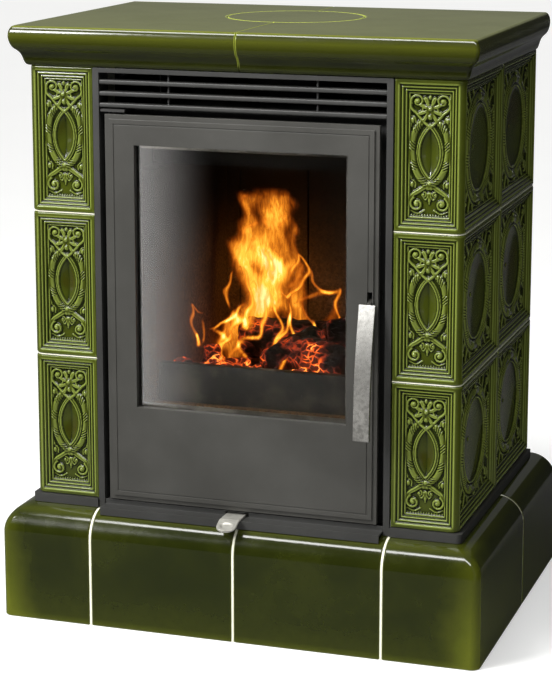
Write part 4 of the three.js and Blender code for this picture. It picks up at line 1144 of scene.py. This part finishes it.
fire = {
    "logs": [  # ends, radius, seed
        ((-96, 58, 392), (112, 40, 396), 37, 3),
        ((20, -30, 398), (128, -92, 386), 30, 11),
        ((-12, -72, 382), (40, 18, 400), 27, 19),
        ((60, 10, 418), (141, 34, 432), 22, 27),
    ],
    "glow": 2.3,
    "flameGlow": 1.75,
}
bed = {"count": 46, "seed": 7, "left": -136, "middle": -40, "near": -166, "level": 346,
       "heap": (34, -92, 40, 8)}  # height, place and spread of the heap, and the bed beside it
sheet = {"x": (-140, 165), "z": (398, 700), "grid": 1.6, "leastHeat": 0.05,
         "places": (("back", 62.0, 9.0), ("front", 26.0, 7.0))}  # name, how deep, its waves


def charFinish(name, spread):  # cracked charcoal, with the fire showing in the cracks
    finish = Finish(name, "cast_iron", {"Roughness": 0.92, "Emission Strength": fire["glow"]})
    bent = finish.node("ShaderNodeVectorMath", {"operation": "ADD"}, {
        0: finish.place(), 1: finish.node("ShaderNodeVectorMath", {"operation": "SCALE"}, {
            0: finish.node("ShaderNodeTexNoise", None, {"Vector": finish.place(), "Scale": 60}, "Color"),
            "Scale": 0.012})})
    blocks = finish.node("ShaderNodeTexVoronoi", {"feature": "DISTANCE_TO_EDGE"}, {
        "Vector": finish.node("ShaderNodeMapping", None, {"Vector": bent, "Scale": (62, 75, 110)}),
        "Scale": 1.0}, "Distance")
    cracks = finish.between(blocks, 0.16, 0.01)
    heat = finish.between(finish.noise(17, 3, 0.6), 0.5 - spread, 0.78 - spread)
    ash = finish.between(finish.noise(70, 4, 0.7), 0.55, 0.8)
    char = finish.mix(heat * 0.6, hue("120c09"), hue("3a120a"))
    finish.surface({
        "Base Color": finish.mix(ash * 0.35, char, hue("6b6058")),
        "Emission Color": finish.ramp((heat * (0.18 + 0.95 * cracks)).clipped(), [
            (0.0, (0, 0, 0, 1)), (0.14, (0.04, 0.006, 0.003, 1)), (0.5, (0.22, 0.022, 0.004, 1)),
            (0.85, (0.62, 0.1, 0.012, 1)), (1.0, (0.95, 0.34, 0.06, 1))]),
        "Normal": finish.bump(blocks.least(0.25), 0.9, 0.004)})
    return finish


logFinish = charFinish("charredLog", 0.05)
emberFinish = charFinish("ember", 0.16)


def charredLog(name, start, end, radius, seed):
    start = Vector(start)
    end = Vector(end)
    along = (end - start).normalized()
    side = along.cross(Vector((0, 0, 1))).normalized()
    up = side.cross(along)
    around, steps = 72, 64
    points = []
    for i in range(steps + 1):
        t = i / steps
        nearEnd = min(t, 1 - t) * (end - start).length
        shrink = 1 - 0.16 * max(0, 1 - nearEnd / 7) ** 2
        for k in range(around):
            a = 2 * math.pi * k / around
            way = side * math.cos(a) + up * math.sin(a)
            spot = start + (end - start) * t + way * radius
            lump = lumps(spot * 0.02, seed) * 0.2 + lumps(spot * 0.055, seed + 5) * 0.1
            chip = max(0.0, lumps(Vector((spot.x * 0.05, a * 3.2, spot.z * 0.03)), seed + 9)) * 0.16
            points.append(start + (end - start) * t + way * radius * shrink * (1 + lump - chip))
    faces = tubeFaces(steps + 1, around)
    for i, sign in ((0, -1), (steps, 1)):  # split, uneven ends
        ringStart = i * around
        middle = len(points)
        centre = start if i == 0 else end
        points.append(centre + along * sign * 2.5)
        inner = []
        for k in range(around):
            spot = centre + (points[ringStart + k] - centre) * 0.55 + along * sign * (1.5 + 2.5 * lumps(
                points[ringStart + k] * 0.09, seed))
            inner.append(len(points))
            points.append(spot)
        for k in range(around):
            n = (k + 1) % around
            faces.append([ringStart + k, inner[k], inner[n], ringStart + n])
            faces.append([inner[k], middle, inner[n]])
    made = newPiece(name, [p * mm for p in points], faces, logFinish)
    fixNormals(made)
    softShade(made, 60)


def lumps(spot, seed):
    return noise.noise(Vector(spot) + Vector((seed * 7.3, seed * 3.1, seed * 5.7)))


def buildEmbers():
    dice = np.random.default_rng(bed["seed"])
    heapHeight, heapX, heapSpread, beside = bed["heap"]
    parts = []
    for i in range(bed["count"]):
        spread = dice.random()
        x = bed["left"] + 100 * spread if i % 3 else bed["middle"] + 175 * spread
        y = bed["near"] + 120 * dice.random()
        pile = heapHeight * math.exp(-((x - heapX) / heapSpread) ** 2) + beside
        size = 8 + 9 * dice.random()
        z = bed["level"] + size * 0.8 + pile * dice.random()
        work = bmesh.new()
        bmesh.ops.create_icosphere(work, subdivisions=3, radius=size)
        shape = Vector((0.8 + 0.7 * dice.random(), 0.8 + 0.5 * dice.random(), 0.65 + 0.4 * dice.random()))
        for vert in work.verts:
            p = vert.co
            cubed = Vector([math.copysign(abs(c / size) ** 0.62, c) * size for c in p])
            bent = cubed * (1 + 0.28 * lumps(cubed * 0.09, i + 1))
            vert.co = Vector((bent.x * shape.x, bent.y * shape.y, bent.z * shape.z))
        turn = Vector((dice.random() * 3, dice.random() * 3, dice.random() * 3))
        bmesh.ops.rotate(work, verts=work.verts, cent=(0, 0, 0), matrix=Euler(turn).to_matrix())
        bmesh.ops.translate(work, verts=work.verts, vec=(x, y, z))
        bmesh.ops.scale(work, verts=work.verts, vec=(mm, mm, mm))
        mesh = bpy.data.meshes.new("ember")
        work.to_mesh(mesh)
        work.free()
        parts.append(linked("ember", mesh))
    made = joinPieces("ember_bed", parts)
    dress(made, emberFinish)
    softShade(made, 50)


flameLines = {  # points (x, z), width at the start and the end, strength
    "back": [
        ([(-5, 560), (0, 598), (6, 616), (9, 641), (13, 668), (20, 684)], 17, 12, 0.55),
        ([(20, 570), (31, 609), (43, 632), (50, 647), (43, 676)], 19, 15, 0.62),
        ([(54, 560), (61, 602), (66, 628), (68, 650), (66, 680)], 17, 12, 0.5),
        ([(72, 560), (84, 601), (87, 621), (84, 642)], 10, 5, 0.34),
        ([(15, 674), (31, 673), (54, 676), (70, 675)], 13, 12, 0.26),
        ([(22, 440), (24, 497), (22, 528), (15, 552), (8, 572), (6, 590)], 22, 16, 0.75),
        ([(30, 500), (43, 543), (50, 561), (38, 583), (27, 604)], 20, 14, 0.7),
        ([(54, 500), (60, 540), (60, 560), (48, 585)], 17, 10, 0.5),
        ([(75, 470), (84, 520), (88, 560), (80, 580)], 17, 9, 0.42),
        ([(100, 455), (98, 500), (90, 540)], 14, 9, 0.34),
        ([(60, 405), (100, 440), (128, 452), (150, 420)], 17, 12, 0.5),
        ([(-12, 420), (-6, 470), (4, 500)], 16, 14, 0.45),
        ([(-34, 440), (-24, 470), (-8, 490)], 13, 11, 0.42),
        ([(130, 470), (140, 500), (150, 530)], 10, 7, 0.3),
    ],
    "front": [
        ([(6, 478), (12, 501), (13, 528), (8, 545), (4, 563), (-3, 580)], 3.6, 2.2, 0.75),
        ([(-14, 566), (-21, 548), (-24, 534), (-18, 517), (-15, 500)], 2.0, 3.4, 0.6),
        ([(6, 518), (-1, 502), (-15, 488), (-34, 482), (-54, 471)], 3, 2, 0.7),
        ([(-15, 490), (-6, 488), (6, 485), (4, 470)], 8, 6, 0.8),
        ([(-52, 472), (-38, 468), (-24, 458), (-15, 476), (6, 489)], 3.4, 5, 0.65),
        ([(-29, 439), (-34, 457), (-24, 480), (-6, 504)], 4.5, 2.4, 0.55),
        ([(-15, 411), (-28, 426), (-31, 446), (-24, 462)], 3.4, 2.6, 0.6),
        ([(-6, 457), (13, 461), (29, 466), (36, 480), (35, 502), (38, 535)], 3.6, 3, 0.75),
        ([(38, 538), (45, 521), (52, 501), (61, 482), (58, 464), (45, 449)], 2.6, 3, 0.7),
        ([(60, 545), (54, 519), (51, 501)], 3, 2, 0.5),
        ([(48, 447), (61, 462), (70, 483), (74, 505), (74, 528)], 3, 2.2, 0.7),
        ([(74, 505), (75, 483), (82, 468), (96, 458)], 2.2, 3.6, 0.75),
        ([(64, 553), (68, 534), (77, 530), (91, 546), (99, 567), (87, 590), (77, 567), (68, 551)],
         3.2, 2.6, 0.7),
        ([(70, 545), (80, 548), (88, 562), (86, 584)], 7, 3, 0.4),
        ([(102, 573), (107, 554), (120, 542), (134, 540), (152, 548)], 1.8, 3, 0.5),
        ([(156, 548), (145, 537), (145, 519), (152, 500), (157, 486)], 3.4, 2, 0.6),
        ([(100, 524), (102, 503), (112, 488), (107, 468)], 2, 3.4, 0.5),
        ([(115, 499), (112, 481), (107, 463), (123, 453)], 2, 4, 0.65),
        ([(86, 522), (105, 529), (123, 537), (143, 543)], 4, 5, 0.4),
        ([(77, 472), (96, 460), (114, 455), (130, 445), (144, 428), (156, 402)], 4, 7, 0.95),
        ([(55, 405), (68, 433), (87, 455), (105, 461)], 3.4, 5, 0.6),
        ([(-64, 441), (-69, 457), (-76, 472), (-80, 490), (-82, 505), (-73, 495), (-59, 496)], 3.2, 1.8, 0.5),
        ([(-67, 440), (-69, 462)], 3.4, 1.6, 0.6),
        ([(-61, 444), (-57, 460), (-62, 475), (-69, 488)], 2.6, 1.6, 0.45),
        ([(-121, 424), (-123, 444), (-123, 462)], 2.4, 1.4, 0.4),
        ([(8, 427), (-6, 443), (-10, 459)], 2.8, 3.6, 0.55),
        ([(-10, 405), (-17, 431), (-6, 452), (8, 451)], 3, 4, 0.55),
        ([(27, 600), (39, 585), (50, 566), (56, 545)], 5, 4, 0.65),
        ([(31, 636), (47, 640), (62, 636)], 6, 6, 0.55),
        ([(-2, 612), (8, 630), (24, 640)], 3, 4, 0.5),
        ([(9, 650), (10, 668), (18, 680)], 3, 5, 0.4),
        ([(66, 656), (70, 640), (64, 624)], 2.4, 2, 0.4),
        ([(16, 470), (20, 500), (26, 530), (22, 560)], 9, 6, 0.55),
        ([(33, 600), (44, 585), (40, 560)], 5, 8, 0.4),
    ],
}


def flameFinish():
    finish = Finish("flame", "fire_glass", {
        "Base Color": (0, 0, 0, 1), "Roughness": 1.0, "Specular IOR Level": 0.0,
        "Emission Strength": fire["flameGlow"]})
    heat = finish.painted("fierce")
    licks = finish.noise(1, 3, 0.6, finish.stretched((150, 40, 42)), 0.9)
    hot = (heat * (0.35 + 0.95 * licks)).clipped()
    finish.surface({
        "Emission Color": finish.ramp(hot, [
            (0.0, (0.25, 0.025, 0.002, 1)), (0.25, (0.55, 0.1, 0.006, 1)), (0.5, (0.8, 0.24, 0.015, 1)),
            (0.75, (0.92, 0.5, 0.05, 1)), (1.0, (1.0, 0.8, 0.28, 1))]),
        "Alpha": finish.between(hot, 0.06, 0.7) * 0.94})
    return finish


def buildFlames():
    finish = flameFinish()
    # the strokes are laid out where they show in the pane, and carried back along the camera's rays
    eye = np.array(bpy.context.scene.camera.location) / mm
    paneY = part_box("door_glass")[0][1] / mm
    for label, deepest, wave in sheet["places"]:
        x = np.arange(*sheet["x"], sheet["grid"])
        z = np.arange(*sheet["z"], sheet["grid"])
        px, pz = np.meshgrid(x, z, indexing="ij")
        drift = 1.0 + 0.012 * (pz - 400)
        bent = Relief(px + drift * (1.5 * np.sin(pz / 15 + px / 21) + 0.9 * np.sin(pz / 6.7 + px / 9 + 1.7)),
                      pz + 1.8 * np.sin(px / 11 + pz / 27), np.zeros(px.shape))
        heat = np.zeros(px.shape)
        for points, first, last, strength in flameLines[label]:
            line = smoothLine(points, 7)
            near, distance, along, _, total = bent.follow(line, 3 * max(first, last))
            share = along / total
            width = first + (last - first) * share
            fade = np.clip(np.minimum(share, 1 - share) * 5 + 0.15, 0, 1)
            heat[near] += strength * fade * np.exp(-(distance / width) ** 2)
        border = np.minimum.reduce([px - x[0], x[-1] - px, pz - z[0], z[-1] - pz])
        heat *= np.clip(border / 10, 0, 1)
        depth = deepest + wave * np.sin(pz / 46 + px / 60)
        depth = np.minimum(depth, -162 + 2.3 * (px + 126))
        if label == "front":
            depth = np.minimum(depth, -128 + 1.9 * (pz - 405))
        share = ((depth - eye[1]) / (paneY - eye[1]))[..., None]
        points = eye + (np.stack([px, np.full(px.shape, paneY), pz], -1) - eye) * share
        points = points.reshape(-1, 3) * mm
        index = np.arange(px.size).reshape(px.shape)
        faces = gridCells(index)[gridCells(heat).max(-1) > sheet["leastHeat"]]
        used = np.unique(faces)
        renumber = np.zeros(px.size, int)
        renumber[used] = np.arange(len(used))
        made = newPiece("flames_" + label, points[used], renumber[faces].tolist(), finish)
        smoothed(made)
        paint(made, "fierce", heat.reshape(-1)[used])


for i, (start, end, radius, seed) in enumerate(fire["logs"]):
    charredLog("log_%d" % (i + 1), start, end, radius, seed)
buildEmbers()
buildFlames()
print("fire laid")

grip = {"middle": 198.5, "width": 25.0, "top": 528.0, "length": 197.0, "face": -255.0, "bow": 28.5,
        "thickness": 5.0, "edge": 0.9, "steps": 96}


def buildGrip():  # a flat bar bowed smoothly forward from its top to its foot
    half = grip["width"] / 2
    edge = grip["edge"]
    outline = []
    for cornerX, cornerY, start in ((half - edge, edge, -90), (half - edge, grip["thickness"] - edge, 0),
                                    (edge - half, grip["thickness"] - edge, 90), (edge - half, edge, 180)):
        for a in np.radians(np.linspace(start, start + 90, 5)):
            outline.append((cornerX + edge * math.cos(a), cornerY + edge * math.sin(a)))
    points = []
    shares = [0.0, 0.002] + [i / grip["steps"] for i in range(1, grip["steps"])] + [0.998, 1.0]
    for t in shares:
        tight = 0.93 if t in (0.0, 1.0) else 1.0
        forward = grip["face"] - grip["bow"] * (1 - (1 - t) ** 2)
        middle = grip["thickness"] / 2
        for x, y in outline:
            points.append((grip["middle"] + x * tight, forward + middle + (y - middle) * tight,
                           grip["top"] - t * grip["length"]))
    count = len(outline)
    faces = tubeFaces(len(shares), count)
    faces.append(list(range(count)))
    faces.append([(len(shares) - 1) * count + k for k in range(count)][::-1])
    made = newPiece("bowed_grip", [Vector(p) * mm for p in points], faces, finishes["handle_steel"], "handle",
                    ["handle_grip"])
    fixNormals(made)
    softShade(made, 50)


lever = {"middle": -9.0, "width": 31.0, "tip": -295.0, "bend": -270.0, "tail": -153.0, "top": 188.3,
         "thickness": 3.0, "drop": 9.6, "tipShare": 0.8,
         "crease": (1.2, 1.1),  # place before the bend, depth and half width
         "dimple": (-283.4, 9.4, 6.6, 1.5)}  # place, half width, half length, depth


def buildLever():  # a flat tongue with a dropped round tip, a crease at the bend and a finger dimple
    half = lever["width"] / 2
    reach = half * lever["tipShare"]
    rows = [lever["tip"] + reach * (1 - math.cos(a)) for a in np.linspace(0.0, math.pi / 2, 26)]
    rows += list(np.linspace(rows[-1], lever["bend"] + 8, 34))[1:] + list(
        np.linspace(lever["bend"] + 8, lever["tail"], 12))[1:]
    across = np.sin(np.linspace(-math.pi / 2, math.pi / 2, 41))
    dimpleY, wide, long, deep = lever["dimple"]
    behind, folded = lever["crease"]
    upper, lower = [], []
    for y in rows:
        share = min(1.0, (y - lever["tip"]) / reach)
        reachX = max(0.25, half * math.sqrt(max(0.0, 1 - (1 - share) ** 2)))
        fall = max(0.0, (lever["bend"] - y) / (lever["bend"] - lever["tip"])) * lever["drop"]
        crease = folded * math.exp(-((y - lever["bend"] - behind) / folded) ** 2)
        for u in across:
            x = u * reachX
            r = math.hypot(x / wide, (y - dimpleY) / long)
            pressed = deep * 0.5 * (1 - math.tanh((r - 0.9) * 9)) - 0.25 * math.exp(-((r - 1.16) / 0.13) ** 2)
            eased = 0.7 * max(0.0, 1 - (reachX - abs(x)) / 1.1) ** 2 if reachX > 1.2 else 0.5
            z = lever["top"] - fall
            upper.append((lever["middle"] + x, y, z - 0.3 - max(-0.25, pressed) - eased - crease))
            lower.append((lever["middle"] + x, y, z - lever["thickness"]))
    wideCount = len(across)
    count = len(upper)
    faces = []
    for i in range(len(rows) - 1):
        for k in range(wideCount - 1):
            a = i * wideCount + k
            faces.append([a, a + 1, a + 1 + wideCount, a + wideCount])
            faces.append([count + a, count + a + wideCount, count + a + 1 + wideCount, count + a + 1])
        for k in (0, wideCount - 1):
            a = i * wideCount + k
            faces.append([a, a + wideCount, count + a + wideCount, count + a])
    for i in (0, len(rows) - 1):
        for k in range(wideCount - 1):
            a = i * wideCount + k
            faces.append([a, count + a, count + a + 1, a + 1])
    blade = newPiece("tongue", [Vector(p) * mm for p in upper + lower], faces, finishes["lever_steel"],
                     "air_control")
    fixNormals(blade)
    low, high = (Vector(p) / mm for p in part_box("air_lever"))
    foot = boxSolid("foot", low.x, high.x, high.y - lever["thickness"], high.y, low.z + lever["drop"], high.z)
    bevelled(foot, 0.4, 2, 40)
    joined = joinPieces("air_tongue", [blade, foot])
    dress(joined, finishes["lever_steel"], "air_control", ["air_lever"])
    softShade(joined, 40)


buildGrip()
buildLever()
print("handle and lever built")


studio = {
    "floor": "dcdcda",
    "world": 0.15,
    "key": (-2.3, -3.2, 2.4, 1.1, 0.8, 100),  # place, width, height, power
    "overhead": (-0.1, -1.3, 2.7, 2.6, 0.42, 55),
    "glint": (-2.2, -2.6, 2.3, 1.6, 1.2, 120),
    "sun": (-0.8, -0.5, 1.1),  # where the soft light over the whole floor comes from
    "sunStrength": 2.1,
    "sunSpread": 34,
    "floorGlow": 0.43,
    "floorReach": 40,
    "cardReach": 9,
    "flag": (1.1, -0.7, 6.0, 2.2),  # place, near and far end, height
    "softPanel": (-1.7, 0.9, -1.2, 4.7),  # left, right, place, strength
    "gripPanel": (-0.34, 0.12, -1.19, 1.25),
    "panelFoot": 0.004,
    "panelTop": 1.3,
}


def areaLight(name, x, y, z, width, height, power, target=(0, 0, 0.5)):
    lamp = linked(name, bpy.data.lights.new(name, "AREA"))
    lamp.data.shape = "RECTANGLE"
    lamp.data.size = width
    lamp.data.size_y = height
    lamp.data.energy = power
    lamp.location = (x, y, z)
    lamp.rotation_euler = (lamp.location - Vector(target)).to_track_quat("Z", "Y").to_euler()
    return lamp


def stagePlane(name, corners, finish):
    mesh = bpy.data.meshes.new(name)
    mesh.from_pydata(corners, [], [(0, 1, 2, 3)])
    made = linked(name, mesh)
    made.data.materials.append(finish.material)
    return made


def flatSquare(reach, z):
    return [(-reach, -reach, z), (reach, -reach, z), (reach, reach, z), (-reach, reach, z)]


def unseen(made, *rays):
    for ray in rays:
        setattr(made, "visible_" + ray, False)


def mattFinish(name, first, second):
    finish = Finish(name, "", {"Roughness": 1.0, "Specular IOR Level": 0.0})
    finish.surface({"Base Color": finish.mix(finish.noise(2, 2, 0.5), hue(first), hue(second))})
    return finish


def glowFinish(name):
    return Finish(name, "", {"Base Color": (0, 0, 0, 1), "Roughness": 1.0, "Specular IOR Level": 0.0,
                             "Emission Strength": studio[name][3]})


def hangPanel(name, finish, group, receiver):  # a bright panel that only the receiver mirrors
    left, right, y, _ = studio[name]
    foot = studio["panelFoot"]
    high = studio["panelTop"]
    panel = stagePlane(name, [(left, y, foot), (right, y, foot), (right, y, high), (left, y, high)], finish)
    unseen(panel, "camera", "diffuse", "shadow")
    only = bpy.data.collections.new(group)
    only.objects.link(receiver)
    panel.light_linking.receiver_collection = only


floorFinish = Finish("paleFloor", "", {"Roughness": 0.75, "Specular IOR Level": 0.2})
floorFinish.surface({"Base Color": floorFinish.mix(
    floorFinish.noise(3, 2, 0.5), hue(studio["floor"]), hue("e2e2e0"))})
seen = floorFinish.node("ShaderNodeLightPath", None, None, "Is Camera Ray")
glossy = floorFinish.node("ShaderNodeLightPath", None, None, "Is Glossy Ray")
through = floorFinish.node("ShaderNodeLightPath", None, None, "Is Transmission Ray")
floorFinish.surface({
    "Emission Color": floorFinish.mix((seen + glossy + through).clipped(), (0, 0, 0, 1), (1, 1, 1, 1)),
    "Emission Strength": studio["floorGlow"]})
stagePlane("floor", flatSquare(studio["floorReach"], 0), floorFinish)
cardFinish = mattFinish("mirrorCard", "565656", "626262")
card = stagePlane("mirrorCard", flatSquare(studio["cardReach"], 0.002), cardFinish)
unseen(card, "camera", "diffuse", "shadow")  # only mirrored by the glaze and the steel
panelFinish = glowFinish("softPanel")  # for the pane, brightest away from the stove
panelShade = panelFinish.between(panelFinish.axis(0) + 0.02 * panelFinish.noise(3, 2, 0.5), -0.37, -0.6)
panelFinish.surface({"Emission Color": panelFinish.mix(panelShade ** 1.5, (0, 0, 0, 1), (1, 0.98, 0.96, 1))})
hangPanel("softPanel", panelFinish, "paneOnly", nodes["door_glass"])
gripFinish = glowFinish("gripPanel")
gripShade = gripFinish.axis(2) + 0.01 * gripFinish.noise(3, 2, 0.5)
gripFinish.surface({"Emission Color": gripFinish.ramp(gripShade, [
    (0.0, (0.4, 0.395, 0.38, 1)), (0.27, (0.36, 0.355, 0.345, 1)), (0.44, (0.11, 0.108, 0.104, 1)),
    (0.68, (0.12, 0.118, 0.114, 1)), (0.86, (0.8, 0.8, 0.79, 1)), (1.0, (1, 1, 1, 1))])})
hangPanel("gripPanel", gripFinish, "gripOnly", bpy.data.objects["bowed_grip"])
areaLight("keyLight", *studio["key"])
areaLight("overheadLight", *studio["overhead"])
glint = areaLight("glintLight", *studio["glint"])
glint.visible_diffuse = False  # only adds shine to what leans up and to the left
sun = linked("softSun", bpy.data.lights.new("softSun", "SUN"))
sun.data.energy = studio["sunStrength"]
sun.data.angle = math.radians(studio["sunSpread"])
sun.rotation_euler = Vector(studio["sun"]).to_track_quat("Z", "Y").to_euler()
sun.visible_glossy = False
flagX, flagNear, flagFar, flagTop = studio["flag"]
flag = stagePlane("darkFlag", [(flagX, flagNear, 0), (flagX, flagFar, 0), (flagX, flagFar, flagTop),
                               (flagX, flagNear, flagTop)], mattFinish("darkFlag", "262626", "2e2e2e"))
unseen(flag, "camera", "shadow")  # keeps light off the right side, as in the photograph
world = bpy.data.worlds.new("studioWorld")
bpy.context.scene.world = world
world.use_nodes = True
world.node_tree.nodes["Background"].inputs["Color"].default_value = (1, 1, 1, 1)
world.node_tree.nodes["Background"].inputs["Strength"].default_value = studio["world"]
bpy.context.scene.view_settings.view_transform = "Standard"
print("studio lit")
